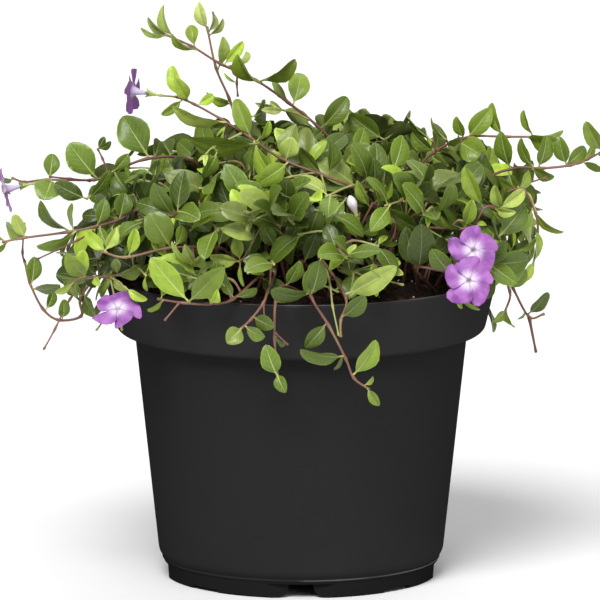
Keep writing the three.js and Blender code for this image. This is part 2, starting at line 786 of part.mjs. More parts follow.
// A bloom: a shallow dish of five petals, each cut off slantwise so that they turn like a pinwheel, on a
// narrow tube that stands on the calyx. A corner is [radius, degrees, height over the middle of the rim].
const petalCorners = [
  [4.2, -36, -1],
  [10.6, -25, 0.2],
  [13.5, -15, 0.5],
  [11.9, 12, -0.1],
  [9.2, 26, -0.6],
];
function bloomSolid({ centre, way }) {
  const { side, up } = bloomFrame(way);
  const turned = (radius, degrees, height) => {
    const angle = THREE.MathUtils.degToRad(degrees);
    return [radius * Math.cos(angle), radius * Math.sin(angle), height];
  };
  const petals = [0, 72, 144, 216, 288];
  const edge = petals.flatMap((turn) => petalCorners.map(([r, a, z]) => turned(r, a + turn, z)));
  const top = edge.map(([x, y, z]) => [x, y, z + petalThickness / 2]);
  const under = edge.map(([x, y, z]) => [x, y, z - petalThickness / 2]);
  const neck = petals.map((turn) => turned(tubeRadius, turn, -throatDepth - 1.4));
  const foot = petals.map((turn) => turned(tubeRadius * 0.6, turn, -tubeLength));
  const throat = top.length + under.length + neck.length + foot.length;
  const faces = [];
  top.forEach((_, i) => {
    const next = (i + 1) % edge.length;
    const petal = Math.floor(i / petalCorners.length);
    const [a, b, c, d] = [i, next, i + edge.length, next + edge.length];
    const n = 2 * edge.length + petal;
    faces.push(throat, a, b, b, a, c, b, c, d, d, c, n);
    if (next % petalCorners.length === 0) faces.push(n, 2 * edge.length + ((petal + 1) % 5), d);
  });
  petals.forEach((_, i) => {
    const n = 2 * edge.length + i;
    const next = 2 * edge.length + ((i + 1) % 5);
    faces.push(next, n, n + 5, next, n + 5, next + 5);
    if (i > 0 && i < 4) faces.push(2 * edge.length + 5, next + 5, n + 5);
  });
  const positions = [...top, ...under, ...neck, ...foot, [0, 0, -throatDepth]].flat();
  const place = new THREE.Matrix4().makeBasis(side, up, way).setPosition(centre);
  return solid(positions, faces).transform(place.elements);
}

// A bud: a slim spindle of rolled petals that stands on the calyx
function budSolid({ centre, way }) {
  const { side, up } = bloomFrame(way);
  const place = new THREE.Matrix4().makeBasis(side, up, way).setPosition(centre);
  const profile = [
    [0, -tubeLength],
    [1.1, -tubeLength],
    [2.4, -tubeLength * 0.5],
    [1.7, -tubeLength * 0.2],
    [0, 0],
  ].map(([radius, height]) => new THREE.Vector2(radius, height));
  return solidOf(new THREE.LatheGeometry(profile, 6).rotateX(Math.PI / 2), place);
}

// The calyx: a small cup of five sides round the end of the flower's stem
function calyxSolid({ calyx, way }) {
  const { side, up } = bloomFrame(way);
  const place = new THREE.Matrix4().makeBasis(side, up, way).setPosition(calyx);
  const cup = new THREE.CylinderGeometry(calyxRadius, tipRadius, calyxLength, 5).rotateX(Math.PI / 2);
  return solidOf(cup.translate(0, 0, -calyxLength / 2), place);
}

// The pot: a thin stepped shell, with notches under its foot and holes in its floor
function potSolid() {
  const bandFoot = potHeight - rimBandHeight;
  const bandRadius = rimTopRadius - rimBandTaper;
  const profile = [
    [0, floorHeight],
    [footRadius - footThickness, floorHeight],
    [footRadius - footThickness, 0],
    [footRadius, 0],
    [footRadius + 0.8, footHeight - 1.6],
    [wallFootRadius - 0.7, footHeight + 0.4],
    [wallFootRadius, footHeight + 2.4],
    [wallTopRadius, bandFoot - 0.6],
    [bandRadius - 1.4, bandFoot],
    [bandRadius, bandFoot + 1.6],
    [rimTopRadius, potHeight - 0.8],
    [rimTopRadius - 0.8, potHeight],
    [rimTopRadius - 2, potHeight - 0.4],
    [bandRadius - wallThickness, bandFoot + 2],
    [wallTopRadius - wallThickness, bandFoot + 0.9],
    [wallFootRadius - wallThickness, footHeight + 3],
    [footRadius - footThickness, floorHeight + floorThickness],
    [0, floorHeight + floorThickness],
  ].map(([radius, height]) => new THREE.Vector2(radius, height));
  const shell = solidOf(new THREE.LatheGeometry(profile, potSides).rotateX(Math.PI / 2));
  const hole = new THREE.CylinderGeometry(floorHoleRadius, floorHoleRadius, 12, 6).rotateX(Math.PI / 2);
  hole.translate(0, -floorHoleCircle, floorHeight);
  const recess = new THREE.BoxGeometry(recessWidth, 2, 2 * archHeight);
  recess.translate(0, -footRadius - 1 + recessDepth, 0);
  const notch = new THREE.BoxGeometry(notchWidth, 12, 2 * notchHeight).translate(0, -footRadius, 0);
  const cuts = [];
  for (let quarter = 0; quarter < 4; quarter++) {
    const turn = new THREE.Matrix4().makeRotationZ((quarter * Math.PI) / 2);
    const halfTurn = new THREE.Matrix4().makeRotationZ(Math.PI / 4).multiply(turn);
    cuts.push(solidOf(drainArch(), turn), solidOf(recess, turn));
    cuts.push(solidOf(hole, turn), solidOf(notch, halfTurn));
  }
  return shell.subtract(union(cuts));
}

// The arch of a drain notch: narrow at the top, spreading in a quarter round to each side
function drainArch() {
  const arch = new THREE.Shape();
  arch.moveTo(-archFootHalf, -1);
  arch.lineTo(archFootHalf, -1);
  arch.quadraticCurveTo(archTopHalf + 0.6, 0.6, archTopHalf, archHeight);
  arch.lineTo(-archTopHalf, archHeight);
  arch.quadraticCurveTo(-archTopHalf - 0.6, 0.6, -archFootHalf, -1);
  const cut = new THREE.ExtrudeGeometry(arch, { depth: 9, bevelEnabled: false, curveSegments: 3 });
  return cut.rotateX(Math.PI / 2).translate(0, -footRadius + 5, 0);
}

// The soil: a plug that fills the pot, slightly crowned, with a plain hole for every stem
function soilSolid() {
  const gap = pieceGap + 0.1;
  const bandFoot = potHeight - rimBandHeight;
  const bandInside = rimTopRadius - rimBandTaper - wallThickness;
  const slope = (rimTopRadius - 2 - bandInside) / (rimBandHeight - 2.8);
  const topRadius = bandInside + (soilEdgeHeight - bandFoot - 2.4) * slope - gap;
  const floor = floorHeight + floorThickness + gap;
  const profile = [
    [0, floor],
    [footRadius - footThickness - gap, floor],
    [wallFootRadius - wallThickness - gap, footHeight + 3.4],
    [wallTopRadius - wallThickness - gap, bandFoot + 1.6],
    [bandInside - gap, bandFoot + 2.9],
    [topRadius, soilEdgeHeight],
    [55, soilHeight(55)],
    [0, soilHeight(0)],
  ].map(([radius, height]) => new THREE.Vector2(radius, height));
  const plug = solidOf(new THREE.LatheGeometry(profile, potSides).rotateX(Math.PI / 2));
  const holeDepth = rootDepth + 8;
  const holes = sprays.map(({ foot }) => {
    const hole = new THREE.CylinderGeometry(stemHoleRadius, stemHoleRadius, holeDepth, 3);
    hole.rotateX(Math.PI / 2).translate(foot.x, foot.y, foot.z - 0.4 + holeDepth / 2);
    return solidOf(hole);
  });
  return plug.subtract(union(holes));
}

const black = new THREE.MeshStandardMaterial({ color: 0x232324, roughness: 0.5, metalness: 0 });
const peat = new THREE.MeshStandardMaterial({ color: 0x2a1c15, roughness: 0.95, metalness: 0 });
const leafGreen = new THREE.MeshStandardMaterial({ color: 0x4c7a35, roughness: 0.45, metalness: 0 });
const violet = new THREE.MeshStandardMaterial({ color: 0x9a5cc0, roughness: 0.6, metalness: 0 });

const plant = new THREE.Group();
plant.add(meshOf("pot", potSolid(), black));
plant.add(meshOf("soil", soilSolid(), peat));
for (const spray of sprays) {
  const pieces = spray.stems.map((points, i) => stemSolid(points, i > 0));
  pieces.push(...spray.leaves.map(leafSolid));
  if (spray.flower) pieces.push(calyxSolid(spray.flower));
  plant.add(meshOf(spray.name, union(pieces), leafGreen));
  if (!spray.flower) continue;
  const flower = spray.flower.kind === "bloom" ? bloomSolid(spray.flower) : budSolid(spray.flower);
  plant.add(meshOf(spray.name + "_" + spray.flower.kind, flower, violet));
}

export default plant;
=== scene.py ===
# A lesser periwinkle with violet flowers in a round black nursery pot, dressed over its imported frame.
# Lengths are in millimetres and become metres when a mesh is made. +Z is up and -Y is the front.
import itertools
import math

import bpy
import numpy as np
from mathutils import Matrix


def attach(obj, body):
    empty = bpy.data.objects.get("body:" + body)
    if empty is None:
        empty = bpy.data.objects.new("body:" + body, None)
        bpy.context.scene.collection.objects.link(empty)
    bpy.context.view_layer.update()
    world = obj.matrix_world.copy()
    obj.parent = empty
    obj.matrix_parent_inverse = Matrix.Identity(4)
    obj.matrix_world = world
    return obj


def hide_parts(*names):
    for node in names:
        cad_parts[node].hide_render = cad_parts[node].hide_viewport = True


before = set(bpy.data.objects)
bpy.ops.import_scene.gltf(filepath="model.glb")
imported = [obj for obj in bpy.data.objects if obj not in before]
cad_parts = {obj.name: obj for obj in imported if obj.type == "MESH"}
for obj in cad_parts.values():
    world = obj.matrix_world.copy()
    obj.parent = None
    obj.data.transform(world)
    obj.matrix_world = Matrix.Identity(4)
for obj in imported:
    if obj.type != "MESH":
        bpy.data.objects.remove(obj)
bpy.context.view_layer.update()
print("frame loaded:", len(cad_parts), "nodes")

metresPerMm = 0.001

# How the picture is seen: from 10.1 degrees above the horizon, from far away
view = {
    "rise": math.radians(10.1),
    "pixels": 600,
    "pixelsPerMm": 2.074,
    "axisPixelX": 301,
    "groundPixelY": 572.9,
    "target": (-0.5, 0.0, 133.6),
    "distance": 6000.0,
    "frameHeight": 289.3,
    "sensorWidth": 36.0,
    "clipEndMetres": 100.0,
}
towardViewer = np.array([0.0, -math.cos(view["rise"]), math.sin(view["rise"])])

camera = bpy.data.objects.new("camera", bpy.data.cameras.new("camera"))
bpy.context.scene.collection.objects.link(camera)
camera.location = (np.array(view["target"]) + towardViewer * view["distance"]) * metresPerMm
camera.rotation_euler = (math.pi / 2 - view["rise"], 0.0, 0.0)
camera.data.sensor_width = view["sensorWidth"]
camera.data.lens = view["sensorWidth"] * view["distance"] / view["frameHeight"]
camera.data.clip_end = view["clipEndMetres"]
bpy.context.scene.camera = camera


def unit(v):
    return v / np.linalg.norm(v)


def arr(*values):
    return np.array(values, float)


# The point that the picture shows at a pixel, for a depth y behind the pot's axis
def seen(pixelX, pixelY, depth):
    across = (pixelX - view["axisPixelX"]) / view["pixelsPerMm"]
    up = (view["groundPixelY"] - pixelY) / view["pixelsPerMm"]
    return arr(across, depth, (up - depth * math.sin(view["rise"])) / math.cos(view["rise"]))


# The pot and soil, with the sizes of the solids
potSizes = {
    "height": 148.0,
    "rimTopRadius": 95.0,
    "rimBandHeight": 28.0,
    "rimBandTaper": 6.0,
    "wallTopRadius": 80.3,
    "wallFootRadius": 68.8,
    "footRadius": 65.6,
    "footHeight": 10.8,
    "footThickness": 3.0,
    "wallThickness": 1.5,
    "floorHeight": 8.0,
    "floorThickness": 1.6,
    "soilEdgeHeight": 142.5,
    "soilEdgeInset": 6.0,
    "soilCrown": 3.5,
    "rootDepth": 7.0,
    "collarRise": 2.0,
    "bandSpace": 3.0,
    "rimSpace": 5.0,
}
bandFoot = potSizes["height"] - potSizes["rimBandHeight"]
bandRadius = potSizes["rimTopRadius"] - potSizes["rimBandTaper"]

# The plant's own sizes, which the solids share
plant = {
    "leafWidthShare": 0.52,
    "widestLeaf": 15.0,
    "leafFold": 0.18,
    "leafArch": 0.3,
    "leafSwell": 0.9,
    "leafPoint": 0.8,
    "nodeStep": 1.5,
    "tubeLength": 9.0,
    "flowerStalk": 26.0,
    "stalkEnd": 5.0,
    "clearance": 3.2,
    "ownClearance": 2.3,
    "stemClearance": 2.6,
    "ownStemClearance": 1.7,
    "testStep": 1.8,
    "potMargin": 1.4,
    "pieceGap": 0.3,
}

# Runners and sprays that show from the front, as the solids have them. A node is [pixel x, pixel y, depth],
# followed by its leaves as [tip pixel x, tip pixel y, tip depth less the node's, roll in degrees] and the
# width as a share of the length where it isn't the usual one.
# A bloom or bud is [number of the node it springs from, pixel x, pixel y, depth, the way it faces].
# The leaf ages are how young the leaves look, first and last, from 0, deep green, to 1.3, cream green.
shownSprays = [
    {
        "name": "runner_top_left",
        "leafAges": (0.3, 1.15),
        "root": [30, 20],
        "nodes": [
            [352, 200, 16],
            [344, 157, 10],
            [318, 127, 6, [348, 98, 2, 15], [313, 139, -8, 10]],
            [288, 103, 3, [275, 73, 2, 62], [302, 72, 4, 10, 0.6]],
            [256, 81, 0, [295, 59, 2, 58], [237, 57, -5, 56]],
            [221, 65, -3, [243, 42, 3, 20], [248, 54, 8, 60]],
            [193, 48, -6, [191, 26, 3, 5, 0.68], [172, 38, -5, 65]],
            [166, 36, -9, [141, 31, -2, 65], [149, 18, 2, 60], [162, 7, 3, 60]],
        ],
    },
    {
        "name": "runner_top",
        "leafAges": (0.6, 1.3),
        "root": [-16, 34],
        "nodes": [
            [262, 175, 34],
            [240, 130, 32],
            [229, 98, 29, [206, 92, 6, 60], [212, 99, -3, 30]],
            [216, 68, 26, [224, 37, -2, 45]],
            [207, 27, 24, [198, 3, -2, 28], [214, 11, 3, 55], [223, 19, -3, 45]],
        ],
    },
    {
        "name": "runner_flowering_top",
        "leafAges": (0.25, 1.05),
        "root": [44, -22],
        "nodes": [
            [377, 214, -46],
            [357, 191, -54],
            [321, 176, -54, [301, 149, 4, 40], [332, 140, 5, 50]],
            [283, 161, -50, [292, 139, -3, 0, 0.8], [257, 186, -10, 20]],
            [249, 138, -46, [236, 101, 4, 5], [277, 182, -9, 38], [270, 123, -6, 50], [189, 139, -6, 48]],
            [222, 121, -44, [264, 89, -2, 55], [174, 107, -6, 60]],
            [195, 106, -42, [214, 97, 3, 15, 0.6]],
            [178, 99, -41, [173, 68, 3, 25], [163, 117, -4, 25], [154, 100, -7, 55], [176, 80, -5, 20]],
        ],
        "bloom": [7, 134, 93, -41, [-0.94, 0.32, 0.1]],
    },
    {
        "name": "runner_left_flowering",
        "leafAges": (0.1, 0.5),
        "root": [-38, -14],
        "nodes": [
            [205, 182, -20],
            [187, 160, -27],
            [148, 160, -33, [124, 118, 2, 0, 0.68], [160, 140, 12, 35]],
            [110, 175, -38, [130, 155, 5, 25], [128, 192, -8, 10, 0.75]],
            [96, 181, -40, [71, 145, -2, 5, 0.64], [112, 197, -8, 40]],
            [48, 181, -42, [55, 155, 2, 10, 0.62], [48, 199, -5, 0, 0.9]],
            [27, 183, -33],
            [14, 179, -27, [-1, 181, 3, 50]],
        ],
        "bloom": [5, 8, 191, -50, [-0.97, -0.12, -0.2]],
    },
    {
        "name": "runner_left",
        "leafAges": (0.2, 0.8),
        "root": [-52, -32],
        "nodes": [
            [150, 214, -50],
            [118, 222, -56, [127, 194, 2, 10, 0.66], [96, 208, 3, 30]],
            [96, 228, -59, [108, 200, 4, 20], [110, 246, -6, 30]],
            [70, 233, -60, [41, 205, -3, 66], [75, 204, 4, 70], [41, 250, -5, 64]],
            [25, 239, -62, [18, 215, -3, 15], [9, 224, 3, 50]],
            [6, 243, -63, [-6, 228, 3, 60], [-7, 252, -4, 60]],
        ],
    },
    {
        "name": "runner_left_loop",
        "leafAges": (0.2, 0.3),
        "root": [-62, -20],
        "nodes": [
            [136, 262, -36],
            [98, 279, -42, [84, 262, 4, 20], [112, 262, -6, 10]],
            [82, 299, -45, [66, 280, -4, 20], [96, 316, -8, 30]],
            [83, 316, -48],
            [61, 320, -50, [66, 300, -4, 25]],
            [45, 309, -50, [56, 289, 5, 30]],
            [32, 283, -49, [37, 257, -4, 15], [62, 286, -7, 55]],
            [27, 262, -48],
        ],
    },
    {
        "name": "spray_left_front",
        "leafAges": (0.5, 1.0),
        "root": [-58, -42],
        "nodes": [
            [140, 272, -56],
            [112, 277, -64, [128, 292, -8, 40], [143, 268, -3, 50], [117, 259, -3, 20, 0.7]],
            [
                84, 278, -66, [85, 251, -3, 20, 0.62], [70, 257, -4, 30], [58, 274, 2, 45],
                [102, 286, -6, 15, 0.6],
            ],
            [74, 284, -67, [58, 293, -4, 40], [80, 302, -5, 30]],
        ],
        "bloom": [1, 120, 308, -80, [-0.12, -0.62, 0.78]],
    },
    {
        "name": "spray_front_left",
        "leafAges": (0.3, 0.95),
        "root": [-14, -48],
        "nodes": [
            [232, 256, -64],
            [217, 248, -72, [229, 217, 2, 0], [205, 222, 4, 25]],
            [170, 249, -78, [151, 214, 0, 0, 0.74], [186, 226, 5, 30]],
            [128, 258, -78, [138, 229, 1, 15]],
            [104, 252, -76, [119, 228, 1, 20], [88, 232, 2, 15]],
        ],
    },
    {
        "name": "runner_on_rim",
        "leafAges": (0.3, 0.8),
        "root": [-22, -62],
        "nodes": [
            [262, 276, -80],
            [233, 300, -95, [224, 275, 2, 35], [257, 290, -4, 50]],
            [209, 304, -97, [212, 283, -4, 35]],
            [186, 303, -95, [226, 267, -3, 5, 0.42], [153, 258, -2, 15, 0.42]],
            [160, 299, -92, [166, 276, 3, 35], [149, 309, -7, 60]],
        ],
    },
    {
        "name": "runner_front_hanging",
        "leafAges": (0.35, 0.4),
        "root": [-6, -58],
        "nodes": [
            [277, 248, -68, [262, 222, 0, 20], [300, 224, 0, 30]],
            [275, 274, -84],
            [268, 292, -97],
            [264, 303, -101],
            [252, 319, -103, [275, 327, -5, 15, 0.6]],
            [241, 329, -104, [228, 343, -2, 5, 0.8], [265, 337, 2, 20, 0.7]],
            [233, 336, -104],
        ],
    },
    {
        "name": "runner_front_long",
        "leafAges": (0.3, 0.3),
        "root": [4, -68],
        "nodes": [
            [284, 286, -92, [300, 262, -4, 30]],
            [276, 302, -103],
            [275, 338, -104, [286, 343, -2, 60]],
            [278, 378, -101, [266, 346, -2, 10], [285, 391, -2, 20, 0.7]],
        ],
    },
    {
        "name": "runner_front_trailing",
        "leafAges": (0.2, 0.75),
        "root": [12, -56],
        "nodes": [
            [302, 262, -76, [316, 234, 2, 20]],
            [311, 297, -99, [320, 262, -4, 20], [273, 293, -4, 60]],
            [328, 325, -103, [305, 347, -2, 15]],
            [345, 358, -102, [300, 349, -3, 50], [333, 369, -2, 40]],
            [353, 377, -101, [375, 340, -2, 40]],
            [368, 388, -100, [378, 404, -3, 10], [372, 376, -3, 40]],
        ],
    },
    {
        "name": "spray_front_middle",
        "leafAges": (0.35, 0.35),
        "root": [22, -60],
        "nodes": [
            [320, 258, -78, [350, 236, -3, 20], [330, 222, 2, 20], [286, 237, -4, 50], [287, 281, -6, 35]],
            [345, 297, -99, [395, 266, -3, 20, 0.42]],
            [340, 320, -104, [364, 296, -4, 30]],
            [340, 336, -104],
        ],
    },
    {
        "name": "spray_right_flowers",
        "leafAges": (0.35, 1.1),
        "root": [56, -34],
        "nodes": [
            [408, 240, -48],
            [424, 229, -58, [463, 197, -4, 20], [384, 210, -2, 25], [432, 204, 4, 15]],
            [466, 229, -62, [470, 201, -3, 10, 0.55], [439, 219, -2, 55]],
            [484, 208, -60, [463, 168, -3, 25, 0.42], [462, 196, -2, 50]],
            [500, 212, -54, [493, 186, -5, 15, 0.5], [521, 191, -3, 20], [512, 214, -6, 25]],
        ],
        "bloom": [1, 471, 251, -80, [0.05, -0.95, 0.3]],
    },
    {
        "name": "spray_right_low",
        "leafAges": (0.2, 0.6),
        "root": [64, -44],
        "nodes": [
            [414, 268, -66, [404, 229, -3, 15, 0.48], [421, 231, -7, 15, 0.48]],
            [452, 272, -70, [430, 252, -4, 25]],
            [488, 262, -58, [514, 284, -6, 5], [528, 262, -2, 40], [503, 240, -2, 20]],
            [508, 291, -48, [524, 270, -2, 30]],
            [503, 313, -48, [492, 322, -3, 30], [511, 329, -3, 60]],
        ],
        "bloom": [1, 466, 281, -93, [-0.05, -0.97, 0.24]],
    },
    {
        "name": "runner_right_high",
        "leafAges": (0.3, 0.9),
        "root": [48, 26],
        "nodes": [
            [414, 178, 16],
            [438, 150, 12, [411, 133, 3, 35], [437, 122, 4, 45], [447, 166, -8, 20]],
            [470, 137, 10, [491, 109, 2, 5], [456, 117, 3, 30], [448, 141, -7, 45], [485, 158, -6, 0, 0.75]],
            [506, 137, 8, [490, 103, 0, 70]],
            [536, 137, 6, [524, 110, 2, 60], [563, 131, -3, 68], [555, 143, -5, 40]],
        ],
    },
    {
        "name": "runner_right",
        "leafAges": (0.2, 0.75),
        "root": [58, -4],
        "nodes": [
            [478, 188, -10],
            [513, 169, -12, [500, 132, -3, 35], [516, 196, -8, 20]],
            [540, 169, -14, [546, 137, -2, 30], [517, 140, -3, 55], [552, 178, -6, 40]],
            [569, 166, -16, [557, 139, -2, 25], [585, 148, 2, 20]],
            [586, 160, -17, [594, 141, -2, 45], [604, 170, -4, 50]],
            [603, 151, -18, [584, 124, -2, 15], [611, 134, 2, 30], [612, 154, -4, 40]],
        ],
    },
    {
        "name": "runner_right_hanging",
        "leafAges": (0.5, 1.05),
        "root": [66, -18],
        "nodes": [
            [492, 206, -28],
            [520, 190, -30, [497, 180, 4, 40], [529, 172, 4, 50]],
            [534, 214, -33, [560, 235, -3, 62], [519, 231, -3, 62]],
            [536, 240, -35, [517, 251, -3, 58]],
            [531, 267, -36, [534, 233, -4, 60], [520, 283, -4, 25]],
        ],
    },
    {
        "name": "runner_right_low",
        "leafAges": (0.2, 0.35),
        "root": [70, 4],
        "nodes": [
            [480, 258, -2],
            [503, 272, -14],
            [512, 288, -20],
            [528, 317, -26, [547, 292, -4, 40], [517, 320, 2, 60]],
            [543, 314, -28, [540, 273, -3, 60]],
        ],
        "stub": [528, 317, -26, 535, 352, -27],
    },
    {
        "name": "spray_middle",
        "leafAges": (0.5, 0.8),
        "root": [24, -28],
        "nodes": [
            [356, 262, -44],
            [358, 234, -54, [381, 221, -3, 20], [336, 214, 4, 35]],
            [372, 204, -60, [392, 182, -3, 15], [356, 182, 4, 30]],
        ],
        "bud": [1, 351, 203, -64, [-0.3, -0.25, 0.92]],
    },
]

# Runners over the rim at the sides and back: bearing in degrees from +X, nodes, swing round the pot
hiddenRunners = [
    {"name": "runner_side_right", "toward": 24, "steps": 5, "swing": 0.25, "flowers": False},
    {"name": "runner_back_right", "toward": 66, "steps": 6, "swing": -0.3, "flowers": True},
    {"name": "runner_back_left", "toward": 112, "steps": 5, "swing": 0.3, "flowers": True},
    {"name": "runner_side_left", "toward": 156, "steps": 5, "swing": -0.25, "flowers": False},
]
# They root on a ring of the soil and follow a Bezier curve of [radius, height], which ends lower the more
# nodes they have
runnerCourse = {
    "rootRadius": 60.0,
    "fall": np.array([[66, 158], [88, 182], [113, 172], [109, 172]], float),
    "dropPerNode": 10.0,
    "flowerRise": 0.5,
}

# The mound: a dome of short stems with two twigs each. It reaches less far to the front and the back.
mound = {
    "base": 150.0,
    "rise": 56.0,
    "radius": 122.0,
    "shoulder": 2.4,
    "reach": 112,
    "frontLess": 12,
    "behindLess": 8,
    "sprays": 25,
    "stemSkipped": 1,
    "rootShare": 0.62,
    "leastNodes": 4,
    "internode": 15.0,
    "tipRise": 5,
    "tipDip": (-4, 4),
    "edgeSag": (0, 24),
    "wideFrom": 0.6,
    "forkShares": [0.3, 0.5],
    "forkStep": 0.4,
    "twigReach": 25.0,
    "twigTurn": (1.6, 2.3),
    "twigDip": (-4, 7),
    "twigNodes": 2,
    "twigRise": 4,
    "twigSkipped": 3,
    "spiralTurn": math.radians(137.508),
    "turnTries": [math.radians(t) for t in (0, 6, -6, 12, -12, 18, -18)],
}

# How a stem arches: what its first part goes outwards and up, and how far before the tip it turns over
stemArch = {"out": 0.08, "up": 0.6, "lift": 6, "before": 0.45}

# Each kind of stem: its radius at the foot and at the tip, and how young it is at both. A twig's youth is
# given with its nodes.
stemKinds = {
    "main": ((0.8, 0.52), (0.0, 0.7)),
    "shown": ((0.8, 0.52), (0.0, 0.5)),
    "stub": ((0.8, 0.52), (0.0, 0.1)),
    "flower": ((0.45, 0.5), (0.7, 1.0)),
    "cup": ((0.5, 1.0), (1.0, 1.0)),
    "fork": ((0.6, 0.5), (0.3, 0.9)),
    "twig": ((0.5, 0.38), None),
    "shoot": ((0.55, 0.45), (0.35, 1.0)),
    "behind": ((0.6, 0.5), (0.3, 0.6)),
}

# Pairs of leaves as the solids have them: their steps back from the node, and the ranges of what is drawn
solidPairs = {
    "steps": (1, 2),
    "swing": (-0.35, 0.35),
    "length": (18, 24.5),
    "spread": (0.75, 1.15),
    "tilt": (-0.3, 0.3),
    "raise": (-0.1, 0.4),
    "sizes": (1, 0.82),
    "gap": plant["clearance"],
    "ownGap": None,
    "rule": None,
    "endSize": 0.92,
    "endAge": 0.45,
}

# What a leaf tries where it finds no room, in mm of depth, degrees of roll and turns about its stem
tries = {
    "depth": [0, -3, 3, -6, 6, -9, 9],
    "roll": [0, 25, -25],
    "spin": [math.radians(t) for t in (0, 24, -24, 48, -48, 75, -75, 100)],
}

# Draws from 0 to 1, the same in every run and the same as the solids had
draws = {"state": 4211, "factor": 16807, "prime": 2147483647}


def draw():
    draws["state"] = draws["state"] * draws["factor"] % draws["prime"]
    return draws["state"] / draws["prime"]


def between(low, high):
    return low + (high - low) * draw()


# Points of a cubic Bezier curve at equal steps of its parameter
def bezier(p0, p1, p2, p3, t):
    t = np.asarray(t, float)[:, None]
    return (1 - t) ** 3 * p0 + 3 * (1 - t) ** 2 * t * p1 + 3 * (1 - t) * t**2 * p2 + t**3 * p3


# A soft curve from the soil to a tip: up first, then outwards, with its nodes at equal steps
def archNodes(base, tip, count, rise):
    out = arr(tip[0] - base[0], tip[1] - base[1], 0)
    up = (tip[2] - base[2]) * stemArch["up"] + stemArch["lift"]
    first = base + out * stemArch["out"] + arr(0, 0, up)
    second = tip - out * stemArch["before"] + arr(0, 0, rise)
    return bezier(base, first, second, tip, np.arange(1, count + 1) / count)


# The soil's top, a shallow dome: its edge and a crown that falls off as the radius squared
def soilHeight(radius):
    edge = potSizes["rimTopRadius"] - potSizes["soilEdgeInset"]
    return potSizes["soilEdgeHeight"] + potSizes["soilCrown"] * (1 - (radius / edge) ** 2)


# Where a leaf is tested: rows along it with places across each, and its tip. The rows past outerFrom are
# those that lie well out on the leaf.
testRows = [0.16, 0.3, 0.44, 0.58, 0.72, 0.86]
testPlaces = [-1, -0.5, 0, 0.5, 1]
testV = np.append(np.repeat(testRows, len(testPlaces)), 1.0)
testU = np.append(np.tile(testPlaces, len(testRows)), 0.0)
outerFrom = 0.28
testOuter = testV > outerFrom


# Half the blade's width along its length, as a share of its widest half, as the solids are tested:
# sin(pi v^swell)^point
def testOutline(v):
    return np.sin(math.pi * np.minimum(v, 1) ** plant["leafSwell"]).clip(0) ** plant["leafPoint"]


# A leaf from a base to a tip, with its upper face turned as near as it can be to a given way
def makeLeaf(base, tip, facing, width):
    along = tip - base
    length = np.linalg.norm(along)
    along = along / length
    normal = unit(facing - along * facing.dot(along))
    leaf = {"base": base, "along": along, "normal": normal, "side": np.cross(along, normal)}
    leaf.update(length=length, width=width)
    return leaf


# Points spread over the middle surface of a leaf, which folds along its rib and arches along its length
def leafTestPoints(leaf):
    half = leaf["width"] / 2 * np.where(testV < 1, testOutline(testV), 0)
    lift = np.abs(testU) * half * plant["leafFold"] + plant["leafArch"] * leaf["length"] * testV * (1 - testV)
    points = leaf["base"] + np.outer(leaf["length"] * testV, leaf["along"])
    return points + np.outer(testU * half, leaf["side"]) + np.outer(lift, leaf["normal"])


# Everything that already grows: points, whose they are, whether they lie well out on a leaf, and which
# points each cell of a coarse grid holds
room = 120000
cellSize = 9.0
taken = {"at": np.zeros((room, 3)), "owner": np.zeros(room, int), "outer": np.zeros(room, bool)}
taken.update(count=0, cells={})


def remember(points, outer, owner):
    first = taken["count"]
    last = first + len(points)
    taken["at"][first:last] = points
    taken["owner"][first:last] = owner
    taken["outer"][first:last] = outer
    taken["count"] = last
    for index, cell in enumerate(np.floor(points / cellSize).astype(int).tolist(), first):
        taken["cells"].setdefault(tuple(cell), []).append(index)


# Whether points keep the margin off the pot and the soil
def clearOfPot(points):
    radius = np.hypot(points[:, 0], points[:, 1])
    z = points[:, 2]
    margin = plant["potMargin"]
    rim, band = potSizes["rimTopRadius"], bandFoot - potSizes["bandSpace"]
    above = z > potSizes["height"] + margin
    beside = (z > band) & (radius > rim + margin)
    under = (z <= band) & (radius > potSizes["wallTopRadius"] + margin)
    inside = (radius < rim - potSizes["rimSpace"] - margin) & (z > soilHeight(radius) + margin)
    return bool(np.all(above | beside | under | inside))


# Whether points keep a gap to all that grows, and smaller gaps to what their own spray holds
def isClear(points, outer, owner, gap, ownGap=None):
    if not clearOfPot(points):
        return False
    low = np.floor((points.min(0) - gap) / cellSize).astype(int).tolist()
    high = np.floor((points.max(0) + gap) / cellSize).astype(int).tolist()
    near = []
    for cell in itertools.product(*(range(a, b + 1) for a, b in zip(low, high))):
        near += taken["cells"].get(cell, [])
    near = np.array(near, int)
    near = near[near < taken["count"]]
    if not len(near):
        return True
    away = points[:, None] - taken["at"][near][None]
    distance = np.sqrt(np.einsum("ijk,ijk->ij", away, away))
    own = np.where(taken["outer"][near], ownGap or plant["ownClearance"], plant["ownStemClearance"])
    mine = (taken["owner"][near] == owner)[None]
    need = np.where(mine, np.where(outer[:, None], own[None], 0.0), gap)
    return bool(np.all(distance >= need))


def stemTestPoints(points):
    runs = []
    for start, end in zip(points[:-1], points[1:]):
        count = max(1, math.ceil(np.linalg.norm(end - start) / plant["testStep"]))
        runs.append(start + np.outer(np.arange(1, count + 1) / count, end - start))
    return np.concatenate(runs)


# Whether a stem finds room, past the first few points next to what it springs from
def stemIsClear(points, skipped, owner, gap):
    tested = stemTestPoints(points)[skipped:]
    return isClear(tested, np.zeros(len(tested), bool), owner, gap)


sprays = []

# How far the petals of a bloom are turned about its tube, in degrees, where it isn't the usual turn
petalTurns = {"spray_left_front": 40, "spray_right_flowers": 55, "spray_right_low": 46}
usualTurn = 20
# The flowers that are smaller than the rest, as a share of their full width
petalShares = {"runner_flowering_top": 0.86, "runner_left_flowering": 0.9}


